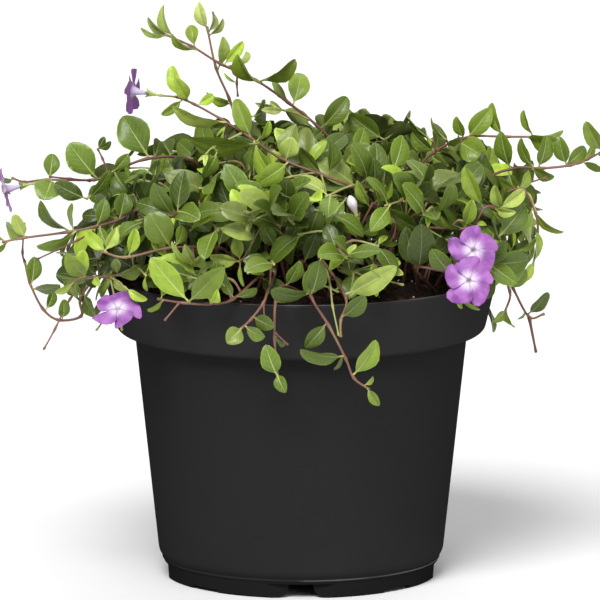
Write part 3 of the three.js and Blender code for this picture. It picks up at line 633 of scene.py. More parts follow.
def newSpray(name, root):
    ground = soilHeight(math.hypot(*root))
    spray = {"name": name, "owner": len(sprays), "stems": [], "leaves": [], "flower": None}
    spray["foot"] = arr(root[0], root[1], ground - potSizes["rootDepth"])
    spray["collar"] = arr(root[0], root[1], ground + potSizes["collarRise"])
    sprays.append(spray)
    return spray


# A stem is kept with its points and, at both ends, its radius and how young it is
def addStem(spray, points, kind, fromFoot=False, age=None):
    radii, usualAge = stemKinds[kind]
    whole = np.array([spray["foot"], spray["collar"], *points] if fromFoot else list(points))
    spray["stems"].append({"points": whole, "radii": radii, "age": age or usualAge})
    remember(stemTestPoints(whole[1:] if fromFoot else whole), False, spray["owner"])


# Two ways across a flower's tube, from a slanting line that no flower faces along
slant = arr(0.31, 0.2, 0.93)


def bloomFrame(way):
    side = unit(np.cross(slant, way))
    return side, np.cross(way, side)


# Where a bloom is tested: rings of points over its petals, and steps down its tube
bloomTest = {"radii": [3.5, 6.5, 9.5, 12.6], "turns": 18, "tubeStep": 2}


def bloomTestPoints(centre, way):
    side, up = bloomFrame(way)
    turns = np.arange(bloomTest["turns"]) / bloomTest["turns"] * 2 * math.pi
    radius, angle = np.meshgrid(bloomTest["radii"], turns, indexing="ij")
    radius, angle = radius.ravel(), angle.ravel()
    limb = centre + np.outer(radius * np.cos(angle), side) + np.outer(radius * np.sin(angle), up)
    down = np.arange(1, plant["tubeLength"], bloomTest["tubeStep"])
    return np.concatenate([limb, centre - np.outer(down, way)])


# The stem of a flower ends in the calyx, and the bloom or bud stands on that
def addFlower(spray, start, centre, facing, kind):
    way = unit(facing)
    calyx = centre - way * (plant["tubeLength"] + plant["pieceGap"])
    spray["flower"] = {"kind": kind, "centre": centre, "way": way, "calyx": calyx}
    spray["flower"]["turn"] = petalTurns.get(spray["name"], usualTurn)
    spray["flower"]["share"] = petalShares.get(spray["name"], 1.0)
    addStem(spray, [start, calyx - way * plant["stalkEnd"], calyx], "flower")
    if kind == "bloom":
        remember(bloomTestPoints(centre, way), True, spray["owner"])
    else:
        remember(stemTestPoints([calyx, centre]), False, spray["owner"])


# The mound's height over a radius: its base, and a rise times (1 - (r / R)^shoulder)^0.5
def moundHeight(radius):
    share = (radius / mound["radius"]) ** mound["shoulder"]
    return mound["base"] + mound["rise"] * math.sqrt(max(0, 1 - share))


def moundReach(angle):
    front, behind = max(0, -math.sin(angle)), max(0, math.sin(angle))
    return mound["reach"] - mound["frontLess"] * front**2 - mound["behindLess"] * behind**2


def moundTip(x, y, dip):
    angle = math.atan2(y, x)
    radius = min(math.hypot(x, y), moundReach(angle))
    return arr(radius * math.cos(angle), radius * math.sin(angle), moundHeight(radius) - dip)


# Stems of the sprays that the picture shows
def growShownStems():
    shown = []
    for plan in shownSprays:
        spray = newSpray(plan["name"], plan["root"])
        points = [seen(*node[:3]) for node in plan["nodes"]]
        addStem(spray, points, "shown", True)
        if "stub" in plan:
            stub = plan["stub"]
            addStem(spray, [seen(*stub[:3]), seen(*stub[3:])], "stub")
        for kind in ("bloom", "bud"):
            if kind in plan:
                node, x, y, depth, facing = plan[kind]
                addFlower(spray, points[node], seen(x, y, depth), arr(*facing), kind)
        shown.append((spray, points, plan))
    return shown


# Stems of the runners at the sides and back: over the rim and down beside the pot
def growHiddenStems():
    hidden = []
    for plan in hiddenRunners:
        start, ring = math.radians(plan["toward"]), runnerCourse["rootRadius"]
        spray = newSpray(plan["name"], [ring * math.cos(start), ring * math.sin(start)])
        steer = runnerCourse["fall"].copy()
        steer[3, 1] -= runnerCourse["dropPerNode"] * plan["steps"]
        share = np.arange(plan["steps"]) / (plan["steps"] - 1)
        radius, height = bezier(*steer, share).T
        angle = start + plan["swing"] * share
        points = np.stack([radius * np.cos(angle), radius * np.sin(angle), height], axis=1)
        addStem(spray, points, "main", True)
        if plan["flowers"]:
            outward = arr(math.cos(start), math.sin(start), runnerCourse["flowerRise"])
            addFlower(spray, points[1], points[1] + outward * plant["flowerStalk"], outward, "bloom")
        hidden.append((spray, [points]))
    return hidden


# Stems of the mound: tips on a sunflower spiral, roots drawn in under them, and two twigs on each stem
def growMoundStems():
    grown, gap = [], plant["stemClearance"]
    for i in range(mound["sprays"]):
        share = math.sqrt((i + 0.5) / mound["sprays"])
        sag = between(*mound["edgeSag"]) * share**4
        dips = [between(*mound[key]) for key in ("tipDip", "twigDip", "twigDip")]
        twigTurns = [between(*mound["twigTurn"]), -between(*mound["twigTurn"])]
        for turn in mound["turnTries"]:
            angle = i * mound["spiralTurn"] + turn
            reach = moundReach(angle) * share
            rootReach = reach * mound["rootShare"]
            root = [rootReach * math.cos(angle), rootReach * math.sin(angle)]
            ground = arr(root[0], root[1], soilHeight(rootReach) + potSizes["collarRise"])
            tip = moundTip(reach * math.cos(angle), reach * math.sin(angle), dips[0] + sag)
            steps = math.floor(np.linalg.norm(ground - tip) / mound["internode"] + 0.5)
            count = max(mound["leastNodes"], steps)
            points = archNodes(ground, tip, count, mound["tipRise"])
            if not stemIsClear([ground, *points], mound["stemSkipped"], -1, gap):
                continue
            spray = newSpray("leafy_stem_" + str(len(grown) + 1).zfill(2), root)
            addStem(spray, points, "main", True)
            lines = [points]
            for forkShare, twigTurn, dip in zip(mound["forkShares"], twigTurns, dips[1:]):
                below = math.floor(count * forkShare)
                fork = points[below] + (points[below + 1] - points[below]) * mound["forkStep"]
                beside = angle + twigTurn
                x = tip[0] + mound["twigReach"] * math.cos(beside)
                y = tip[1] + mound["twigReach"] * math.sin(beside)
                twig = archNodes(fork, moundTip(x, y, dip + sag), mound["twigNodes"], mound["twigRise"])
                if stemIsClear([fork, *twig], mound["twigSkipped"], spray["owner"], gap):
                    addStem(spray, [fork, *twig], "fork")
                    lines.append(twig)
            spray["wide"] = share > mound["wideFrom"]
            grown.append((spray, lines))
            break
    return grown


# A leaf is kept, and its points are remembered, if they pass the rule and find room. Gives whether they did.
def keepLeaf(spray, leaf, age, gap, ownGap, rule=None):
    tested = leafTestPoints(leaf)
    if (rule and not rule(tested)) or not isClear(tested, testOuter, spray["owner"], gap, ownGap):
        return False
    leaf["age"] = age
    spray["leaves"].append(leaf)
    remember(tested, testOuter, spray["owner"])
    return True


# A vector turned about an axis through the origin
def turned(v, axis, angle):
    cos, sin = math.cos(angle), math.sin(angle)
    return v * cos + np.cross(axis, v) * sin + axis * axis.dot(v) * (1 - cos)


# A leaf drawn from the picture. Where it would touch another it leans back or forward, or rolls.
def addShownLeaf(spray, base, tipPixel, roll, age, gap, ownGap=None, share=plant["leafWidthShare"]):
    x, y, depth = tipPixel
    for turn, shift in itertools.product(tries["roll"], tries["depth"]):
        tip = seen(x, y, depth + shift)
        along = unit(tip - base)
        angle = math.radians(roll + turn)
        facing = unit(towardViewer - along * towardViewer.dot(along))
        facing = turned(facing, along, angle if along[0] > 0 else -angle)
        width = min(plant["widestLeaf"], share * np.linalg.norm(tip - base))
        if keepLeaf(spray, makeLeaf(base, tip, facing, width), age, gap, ownGap):
            return


# How much the light comes from outwards and from above, for leaves of the mound
lightFrom = {"outward": 0.8, "above": 0.75}


# A leaf of the mound: it leaves its stem sideways and faces up and outwards. Gives whether it found room.
def addMoundLeaf(spray, base, tangent, hand, habit, age, pairs):
    outward = unit(arr(base[0], base[1], 0))
    light = unit(outward * lightFrom["outward"] + arr(0, 0, lightFrom["above"]))
    across = unit(np.cross(tangent, light)) * hand
    for scale, spin in itertools.product(pairs["sizes"], tries["spin"]):
        way = turned(across, tangent, habit["swing"] + spin * hand)
        along = tangent * math.cos(habit["spread"]) + way * math.sin(habit["spread"])
        along = unit(along + arr(0, 0, habit["raise"]))
        facing = turned(light, along, habit["tilt"])
        length = habit["length"] * scale
        leaf = makeLeaf(base, base + along * length, facing, length * plant["leafWidthShare"])
        if keepLeaf(spray, leaf, age, pairs["gap"], pairs["ownGap"], pairs["rule"]):
            return True
    return False


# A pair of leaves at a node, from ranges and a source of draws. Gives how many found room.
def addPair(spray, line, n, age, pairs, drawn, size=1.0, quarter=0.0):
    tangent = unit(line[n] - line[n - 1])
    swing = drawn(*pairs["swing"]) + quarter
    count = 0
    for hand, steps in zip((1, -1), pairs["steps"]):
        base = line[n] - tangent * plant["nodeStep"] * steps
        habit = {key: drawn(*pairs[key]) for key in ("length", "spread", "tilt", "raise")}
        habit.update(length=habit["length"] * size, swing=swing)
        count += addMoundLeaf(spray, base, tangent, hand, habit, age, pairs)
    return count


def addSolidPair(spray, line, n):
    age, size = (solidPairs["endAge"], solidPairs["endSize"]) if n == len(line) - 1 else (0.0, 1)
    addPair(spray, line, n, age, solidPairs, between, size)


# All that the solids hold, in the same order of draws
def growAsSolids():
    shown = growShownStems()
    hidden = growHiddenStems()
    grown = growMoundStems()
    for spray, points, plan in shown:
        first, last = plan["leafAges"]
        for n, node in enumerate(plan["nodes"]):
            before = points[n - 1] if n else spray["collar"]
            inward = unit(points[n] - before)
            age = first + (last - first) * n / (len(points) - 1)
            for i, (x, y, forward, roll, *share) in enumerate(node[3:]):
                base = points[n] - inward * plant["nodeStep"] * (i + 1)
                tip = [x, y, node[2] + forward]
                addShownLeaf(spray, base, tip, roll, age, plant["clearance"], None, *share)
    for spray, lines in hidden:
        for n in range(1, len(lines[0])):
            addSolidPair(spray, lines[0], n)
    for spray, lines in grown:
        for k, line in enumerate(lines):
            addSolidPair(spray, line, len(line) - 1)
            if k == 0 and spray["wide"]:
                addSolidPair(spray, line, len(line) - 3)
    return shown, hidden, grown


shown, hidden, grown = growAsSolids()
print("grown as the solids:", sum(len(s["leaves"]) for s in sprays), "leaves,", len(sprays), "sprays")

# Finer twigs that the picture shows and the solids leave out: the spray that each grows on, the age of its
# leaves and of its stem, and its nodes with their leaves, as above
twigs = [
    ("runner_top_left", 1.25, 0.8, [
        [309, 120, 5], [296, 114, 2],
        [284, 111, -3, [255, 104, -5, 15, 0.26], [263, 111, -4, 10, 0.32], [270, 102, -2, 20, 0.42]],
    ]),
    ("runner_top_left", 0.9, 0.1, [[238, 73, -1], [237, 84, -2, [224, 74, -1, 40, 0.3]], [238, 97, -3]]),
    ("runner_flowering_top", 0.0, 0.2, [
        [249, 137, -45], [251, 118, -18, [279, 92, 30, 62, 0.45], [266, 108, 24, 40, 0.6]],
    ]),
    ("runner_flowering_top", 1.25, 0.95, [
        [242, 135, -46], [214, 149, -52],
        [207, 156, -53, [199, 163, -1, 0, 0.3], [202, 166, -2, 20, 0.3], [206, 166, 0, 0, 0.3]],
    ]),
    ("runner_flowering_top", 0.4, 0.9, [[214, 149, -52], [218, 153, -51, [204, 179, -3, 10, 0.5]]]),
    ("runner_flowering_top", 0.0, 0.0, [[226, 124, -44], [229, 151, -42], [226, 168, -44]]),
    ("runner_flowering_top", 1.25, 0.7, [
        [321, 176, -54], [325, 192, -62],
        [326, 206, -66, [323, 217, -2, 0, 0.3], [328, 218, -2, 0, 0.3], [332, 214, -1, 0, 0.3]],
    ]),
    ("spray_middle", 1.12, 0.1, [
        [372, 204, -60], [388, 214, -61], [394, 224, -62, [383, 216, -2, 20]], [393, 236, -65],
        [386, 246, -68], [378, 256, -70], [373, 265, -72, [371, 243, -2, 45, 0.45], [337, 271, -3, 50, 0.3]],
        [388, 267, -74, [389, 258, -1, 20], [397, 261, -2, 10], [402, 275, -2, 20]],
    ]),
    ("spray_front_left", 1.1, 0.6, [
        [232, 256, -64],
        [241, 262, -78, [237, 235, -2, 10, 0.5], [211, 257, -3, 25, 0.55], [245, 287, -3, 50, 0.3]],
        [253, 243, -76], [264, 221, -72],
    ]),
    ("spray_front_left", 1.12, 0.3, [
        [194, 249, -76],
        [197, 267, -82, [186, 246, -2, 20, 0.5], [204, 256, -2, 20, 0.6], [172, 246, -3, 50, 0.3]],
    ]),
    ("spray_front_middle", 0.3, 0.7, [[326, 267, -84], [330, 288, -97], [332, 306, -102], [338, 335, -104]]),
    ("runner_left_loop", 0.3, 0.3, [[82, 290, -44], [72, 299, -50], [57, 329, -54], [46, 349, -56]]),
    ("runner_left_loop", 0.3, 0.0, [[27, 262, -48], [25, 253, -49], [27, 224, -50]]),
    ("runner_left", 0.3, 0.15, [[96, 232, -58], [80, 241, -62], [61, 250, -66], [40, 260, -68]]),
    ("runner_left_flowering", 0.1, 0.3, [
        [110, 175, -38], [104, 160, -32], [99, 150, -30, [106, 138, 0, 20], [112, 144, 0, 40]],
    ]),
    ("runner_left_flowering", 0.1, 0.1, [[92, 182, -41], [72, 180, -46], [52, 178, -48]]),
    ("runner_left_flowering", 0.1, 0.2, [
        [104, 178, -40], [96, 192, -46], [89, 200, -48, [57, 185, -3, 10, 0.45], [112, 172, -3, 50, 0.4]],
    ]),
    ("spray_left_front", 1.0, 0.7, [[112, 277, -64], [128, 288, -78, [149, 300, -4, 30, 0.5]]]),
    ("spray_left_front", 0.3, 0.6, [[108, 318, -78], [99, 330, -80]]),
    ("runner_on_rim", 0.3, 0.4, [[181, 303, -95], [167, 320, -98]]),
    ("runner_on_rim", 0.95, 0.5, [
        [212, 304, -97], [213, 303, -99, [219, 292, -1, 30], [208, 296, -2, 40], [222, 299, -2, 50]],
    ]),
    ("runner_front_hanging", 0.3, 0.2, [[264, 303, -101], [265, 319, -102]]),
    ("runner_front_hanging", 0.3, 0.4, [[275, 332, -104], [288, 344, -104]]),
    ("spray_right_low", 0.9, 0.6, [
        [452, 272, -70],
        [456, 292, -86, [451, 303, -2, 40, 0.3], [459, 310, -2, 20, 0.3], [476, 311, -4, 50, 0.3]],
    ]),
    ("runner_right_high", 0.35, 0.3, [
        [414, 178, 16], [398, 158, 14], [384, 140, 12, [413, 113, 2, 66, 0.3], [349, 114, 2, 15, 0.55]],
    ]),
    ("runner_right_high", 0.35, 0.3, [[436, 151, 12], [432, 141, 11, [408, 115, 2, 68, 0.3]]]),
    ("runner_right_high", 0.35, 0.3, [[449, 145, 11], [446, 140, 10, [429, 119, 2, 66, 0.3]]]),
    ("runner_right_hanging", 0.9, 0.8, [[516, 188, -28], [528, 196, -31], [534, 212, -33]]),
    ("runner_right", 0.3, 0.1, [[500, 192, -20], [520, 186, -22], [545, 178, -24]]),
]
twigGap = 1.0


def growTwigs():
    byName = {spray["name"]: spray for spray in sprays}
    for name, leafAge, stemAge, nodes in twigs:
        spray = byName[name]
        points = [seen(*node[:3]) for node in nodes]
        addStem(spray, points, "twig", age=(stemAge, stemAge))
        for point, node in zip(points, nodes):
            for x, y, forward, roll, *share in node[3:]:
                tip = [x, y, node[2] + forward]
                addShownLeaf(spray, point, tip, roll, leafAge, twigGap, twigGap, *share)


growTwigs()

# Where the picture shows the mound itself, as pixels round its outline. Outside it only the drawn sprays
# show, and in it the drawn leaves and flowers stay in sight: nothing that is filled in hides them.
moundOutline = [
    (62, 240), (80, 225), (100, 200), (112, 172), (150, 170), (182, 150), (200, 133), (235, 125),
    (262, 118), (300, 125), (320, 118), (345, 112), (375, 112), (405, 122), (440, 135), (480, 140),
    (515, 140), (530, 160), (538, 195), (538, 235), (525, 265), (505, 285), (490, 296), (448, 296),
    (440, 268), (385, 270), (375, 300), (300, 298), (200, 290), (130, 290), (95, 302), (70, 292), (58, 265),
]
potOutline = [(112, 296), (488, 296), (462, 350), (430, 590), (170, 590), (135, 350)]
sightRules = {
    "nowhere": -1000.0,
    "anywhere": 1000.0,
    "behindPot": 20.0,
    "leafPixels": 4,
    "stemPixels": 2,
    "hiddenShare": 0.13,
}


# The column and row in the picture of each point, and how near it is to the viewer
def toPicture(points):
    x = view["axisPixelX"] + points[:, 0] * view["pixelsPerMm"]
    up = points[:, 2] * math.cos(view["rise"]) + points[:, 1] * math.sin(view["rise"])
    return x, view["groundPixelY"] - up * view["pixelsPerMm"], points @ towardViewer


# The pixels that hold these places, as rows and columns
def pixelsAt(x, y):
    last = view["pixels"] - 1
    return y.astype(int).clip(0, last), x.astype(int).clip(0, last)


# Which pixels lie in a closed outline: those from which a line to the right crosses it an odd number of times
def inOutline(outline):
    size = view["pixels"]
    y, x = np.mgrid[0:size, 0:size] + 0.5
    inside = np.zeros((size, size), bool)
    for (x0, y0), (x1, y1) in zip(outline, outline[1:] + outline[:1]):
        crossing = (y0 > y) != (y1 > y)
        inside ^= crossing & (x < x0 + (y - y0) * (x1 - x0) / (y1 - y0 or 1))
    return inside


# For every pixel, how near to the viewer a filled-in leaf may come
def sightLimits():
    nowhere, leafWidth, stemWidth = (sightRules[key] for key in ("nowhere", "leafPixels", "stemPixels"))
    nearest = np.full((view["pixels"], view["pixels"]), nowhere)
    for spray, points, _ in shown:
        clouds = [(leafTestPoints(leaf), leafWidth) for leaf in spray["leaves"]]
        lines = [points] + [stem["points"] for stem in spray["stems"][1:]]
        clouds += [(stemTestPoints(line), stemWidth) for line in lines]
        flower = spray["flower"]
        if flower:
            clouds.append((bloomTestPoints(flower["centre"], flower["way"]), leafWidth))
        for cloud, width in clouds:
            x, y, depth = toPicture(cloud)
            for dx, dy in itertools.product(range(-width, width + 1), repeat=2):
                np.maximum.at(nearest, pixelsAt(x + dx, y + dy), depth)
    free = np.where(inOutline(potOutline), sightRules["behindPot"], nowhere)
    free[inOutline(moundOutline)] = sightRules["anywhere"]
    return np.where(nearest > nowhere, np.minimum(nearest, free), free)


sight = sightLimits()


# Whether points hide no more than a small share of what has to stay in sight
def keepsSight(points):
    x, y, depth = toPicture(points)
    return np.mean(depth > sight[pixelsAt(x, y)]) < sightRules["hiddenShare"]


# What the solids leave out: more leaves on every stem, and short shoots to the bare places of the mound.
# Its pairs of leaves are set by the same names as those of the solids.
fill = {
    "seed": 77,
    "steps": (0.4, 1.1),
    "swing": (-0.35, 0.35),
    "length": (17, 24),
    "spread": (0.75, 1.25),
    "tilt": (-0.4, 0.4),
    "raise": (-0.2, 0.35),
    "sizes": (1, 0.86, 0.74),
    "gap": 1.8,
    "ownGap": 1.4,
    "rule": keepsSight,
    "stemAge": 0.1,
    "tipSize": 0.5,
    "domeTargets": 380,
    "domeTurn": 0.4,
    "domeDip": (-3, 9),
    "skirtTargets": 170,
    "skirtShares": (0.86, 1.0),
    "skirtHeights": (153, 178),
}

# A shoot comes from one of a few stems within reach, hardly further out and hardly higher than its tip
shoot = {
    "reach": (11.0, 40.0),
    "further": 3,
    "fall": -6,
    "starts": 3,
    "shortReach": 24,
    "rise": 3,
    "skipped": 2,
    "gap": 1.2,
    "youngShare": 0.35,
    "tipAges": (1.0, 0.35),
    "leafAge": 0.15,
    "leastLeaves": 2,
    "budSize": 0.45,
}
rng = np.random.default_rng(fill["seed"])


def fillPair(spray, line, n, age, size=1.0, quarter=0.0):
    return addPair(spray, line, n, age, fill, rng.uniform, size, quarter)


# A short shoot from one of the nearest stems further in, kept only if at least two leaves find room on it
def growShoot(target, anchors, anchorOwner):
    away = target - anchors
    distance = np.linalg.norm(away, axis=1)
    low, high = shoot["reach"]
    inward = np.hypot(anchors[:, 0], anchors[:, 1]) < math.hypot(target[0], target[1]) + shoot["further"]
    usable = (distance > low) & (distance < high) & inward & (away[:, 2] > shoot["fall"])
    order = np.nonzero(usable)[0]
    order = order[np.argsort(distance[order])]
    for pick in order[:: max(1, len(order) // shoot["starts"])][: shoot["starts"]]:
        spray = sprays[anchorOwner[pick]]
        count = 2 if distance[pick] < shoot["shortReach"] else 3
        line = [anchors[pick], *archNodes(anchors[pick], target, count, shoot["rise"])]
        if not stemIsClear(line, shoot["skipped"], spray["owner"], shoot["gap"]):
            continue
        keptPoints, keptLeaves = taken["count"], len(spray["leaves"])
        addStem(spray, line, "shoot")
        young = shoot["tipAges"][0 if rng.random() < shoot["youngShare"] else 1]
        found = fillPair(spray, line, count, young)
        for n in range(count - 1, 0, -1):
            found += fillPair(spray, line, n, shoot["leafAge"])
        if found >= shoot["leastLeaves"]:
            fillPair(spray, line, count, 1.0, shoot["budSize"], math.pi / 2)
            return True
        taken["count"] = keptPoints
        del spray["leaves"][keptLeaves:]
        spray["stems"].pop()
    return False


# More pairs on every stem, then shoots to a dome of targets and to a skirt of them round its edge
def fillMound():
    for spray, lines in hidden + grown:
        for k, line in enumerate(lines):
            whole = list(line) if k else [spray["collar"], *line]
            for n in range(len(whole) - 1, 0 if k else 1, -1):
                fillPair(spray, whole, n, fill["stemAge"])
            fillPair(spray, whole, len(whole) - 1, 1.0, fill["tipSize"], math.pi / 2)
    for spray, points, _ in shown:
        fillPair(spray, points, 1, fill["stemAge"])
        fillPair(spray, [spray["collar"], *points], 1, fill["stemAge"])
    anchors, owners = [], []
    for spray in sprays:
        tested = stemTestPoints(spray["stems"][0]["points"][1:])
        near = np.hypot(tested[:, 0], tested[:, 1]) < mound["reach"]
        anchors.append(tested[near])
        owners.append(np.full(near.sum(), spray["owner"]))
    anchors, owners = np.concatenate(anchors), np.concatenate(owners)
    made = 0
    for i in range(fill["domeTargets"]):
        share = math.sqrt((i + 0.5) / fill["domeTargets"])
        angle = i * mound["spiralTurn"] + fill["domeTurn"]
        reach = moundReach(angle) * share
        target = moundTip(reach * math.cos(angle), reach * math.sin(angle), rng.uniform(*fill["domeDip"]))
        made += growShoot(target, anchors, owners)
    for i in range(fill["skirtTargets"]):
        angle = i * mound["spiralTurn"]
        reach = moundReach(angle) * rng.uniform(*fill["skirtShares"])
        target = arr(reach * math.cos(angle), reach * math.sin(angle), rng.uniform(*fill["skirtHeights"]))
        made += growShoot(target, anchors, owners)
    return made


shoots = fillMound()

# Low shoots at the back of the soil, which close the view under the mound, in pixels and mm of depth
backShoots = {
    "columns": [226, 250, 274, 298, 322, 346, 370, 394],
    "depth": 42,
    "rows": [272, 256, 241, 228],
    "reach": 15,
    "lift": 9,
    "roll": 20,
    "leafAge": 0.1,
}


# Each grows from the foot of the nearest stem of the mound, with pairs of leaves that rise to both sides
def growBackShoots():
    depth, rows = backShoots["depth"], backShoots["rows"]
    for x in backShoots["columns"]:
        points = [seen(x, row, depth) for row in rows]
        spray = min((each for each, _ in grown), key=lambda each: np.linalg.norm(each["collar"] - points[0]))
        addStem(spray, points, "behind")
        for point, row in zip(points[1:], rows[1:]):
            for side in (-backShoots["reach"], backShoots["reach"]):
                tip = [x + side, row - backShoots["lift"], depth]
                addShownLeaf(spray, point, tip, backShoots["roll"], backShoots["leafAge"], twigGap, twigGap)


growBackShoots()
leafCount = sum(len(spray["leaves"]) for spray in sprays)
print("filled:", leafCount, "leaves,", shoots, "shoots,", taken["count"], "points")


# Faces of a closed tube of rings with equal sides. Its points are the rings, then the pole at its start
# and the pole at its end. Each ring turns right-handed about the way the tube runs, so faces look out.
def tubeFaces(rings, sides):
    i, k = np.meshgrid(np.arange(rings - 1), np.arange(sides), indexing="ij")
    a, b = i * sides + k, i * sides + (k + 1) % sides
    quads = np.stack([a, b, b + sides, a + sides], axis=-1).reshape(-1, 4)
    k = np.arange(sides)
    j = (k + 1) % sides
    last = (rings - 1) * sides
    start = np.stack([np.full(sides, rings * sides), j, k], axis=-1)
    end = np.stack([np.full(sides, rings * sides + 1), last + k, last + j], axis=-1)
    return quads, np.concatenate([start, end])


# The same faces for many copies whose points follow one another
def copied(faces, count, step):
    return (faces[None] + (np.arange(count) * step)[:, None, None]).reshape(-1, faces.shape[1])


# Angles evenly round a ring
def around(sides):
    return np.arange(sides) / sides * 2 * math.pi


# A mesh from points in millimetres. Values go in by point, maps by point too, and marks by face.
def putMesh(name, points, quads, tris, material, values=None, maps=None, marks=None, sharpAngle=None):
    mesh = bpy.data.meshes.new(name)
    mesh.vertices.add(len(points))
    mesh.vertices.foreach_set("co", (np.asarray(points) * metresPerMm).astype(np.float32).ravel())
    corners = np.concatenate([quads.ravel(), tris.ravel()]).astype(np.int32)
    starts = np.concatenate([np.arange(len(quads)) * 4, len(quads) * 4 + np.arange(len(tris)) * 3])
    mesh.loops.add(len(corners))
    mesh.loops.foreach_set("vertex_index", corners)
    mesh.polygons.add(len(quads) + len(tris))
    mesh.polygons.foreach_set("loop_start", starts.astype(np.int32))
    mesh.update(calc_edges=True)
    mesh.validate()
    mesh.polygons.foreach_set("use_smooth", np.ones(len(mesh.polygons), bool))
    for key, value in (maps or {}).items():
        layer = mesh.uv_layers.new(name=key)
        layer.data.foreach_set("uv", value[corners].astype(np.float32).ravel())
    for carried, domain in ((values, "POINT"), (marks, "FACE")):
        for key, value in (carried or {}).items():
            layer = mesh.attributes.new(key, "FLOAT", domain)
            layer.data.foreach_set("value", np.asarray(value, np.float32))
    if sharpAngle:
        mesh.set_sharp_from_angle(angle=math.radians(sharpAngle))
    mesh.materials.append(material)
    piece = bpy.data.objects.new(name, mesh)
    bpy.context.scene.collection.objects.link(piece)
    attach(piece, "root")
    return piece


# Colours are sRGB hex values, turned linear here
def colour(hexText):
    parts = [int(hexText[i : i + 2], 16) / 255 for i in (0, 2, 4)]
    return (*[c / 12.92 if c <= 0.04045 else ((c + 0.055) / 1.055) ** 2.4 for c in parts], 1.0)


# A material while it is made, with short forms of the nodes that most of them use
class Material:
    def __init__(self, name, **settings):
        self.made = bpy.data.materials.new(name)
        self.made.use_nodes = True
        self.tree = self.made.node_tree
        self.shader = self.tree.nodes["Principled BSDF"]
        for key, value in settings.items():
            self.shader.inputs[key.replace("_", " ")].default_value = value

    # One node, with its settings and what feeds its sockets: other sockets, numbers or hex colours
    def node(self, kind, feeds=None, **settings):
        node = self.tree.nodes.new("ShaderNode" + kind)
        for key, value in settings.items():
            setattr(node, key, value)
        for key, value in (feeds or {}).items():
            if isinstance(value, bpy.types.NodeSocket):
                self.tree.links.new(value, node.inputs[key])
            else:
                node.inputs[key].default_value = colour(value) if isinstance(value, str) else value
        return node

    def feed(self, name, socket):
        self.tree.links.new(socket, self.shader.inputs[name])

    # A value that the mesh carries at its points or faces
    def carried(self, name):
        return self.node("Attribute", attribute_name=name).outputs["Fac"]

    # The two values of a map that the mesh carries
    def mapped(self, name):
        parts = self.node("SeparateXYZ", {0: self.node("UVMap", uv_map=name).outputs[0]})
        return parts.outputs[0], parts.outputs[1]

    def place(self):
        return self.node("TexCoord").outputs["Object"]

    def noise(self, scale, detail=2.0, vector=None):
        feeds = {"Vector": self.place() if vector is None else vector, "Scale": scale, "Detail": detail}
        return self.node("TexNoise", feeds).outputs["Fac"]

    def compute(self, operation, a, b=0.5):
        return self.node("Math", {0: a, 1: b}, operation=operation).outputs[0]

    def times(self, a, b):
        return self.compute("MULTIPLY", a, b)

    # A smooth step from one range to another
    def ramp(self, value, low, high, toLow=0.0, toHigh=1.0):
        feeds = {"Value": value, "From Min": low, "From Max": high, "To Min": toLow, "To Max": toHigh}
        return self.node("MapRange", feeds, interpolation_type="SMOOTHSTEP").outputs[0]

    # A colour with others laid over it one after another, each with its own factor
    def layered(self, base, *layers):
        for factor, over in layers:
            base = self.node("Mix", {"Factor": factor, 6: base, 7: over}, data_type="RGBA").outputs[2]
        return base

    def brighter(self, value, base):
        return self.node("HueSaturation", {"Value": value, "Color": base}).outputs[0]

    def bump(self, strength, distance, height):
        feeds = {"Strength": strength, "Distance": distance, "Height": height}
        self.feed("Normal", self.node("Bump", feeds).outputs[0])


# How a leaf is shaped: stations along it, the steps round its section, and what its formulas use
leafShape = {
    "stations": [0.0, 0.06, 0.12, 0.17, 0.25, 0.36, 0.49, 0.63, 0.77, 0.89, 0.97],
    "across": [-1, -0.7, -0.35, 0, 0.35, 0.7, 1, 0.55, 0, -0.55],
    "topSteps": 6,
    "groove": 0.12,
    "bulge": 0.07,
    "petiole": 0.12,
    "petioleRadius": 0.5,
    "usualLength": 22,
    "blendFrom": 0.09,
    "blendOver": 0.11,
    "footPoint": 0.3,
    "waves": 9,
    "waveHeight": 0.09,
    "waveShift": 2,
    "twistCentre": 0.3,
    "thickness": 0.5,
    "ridge": 0.35,
}


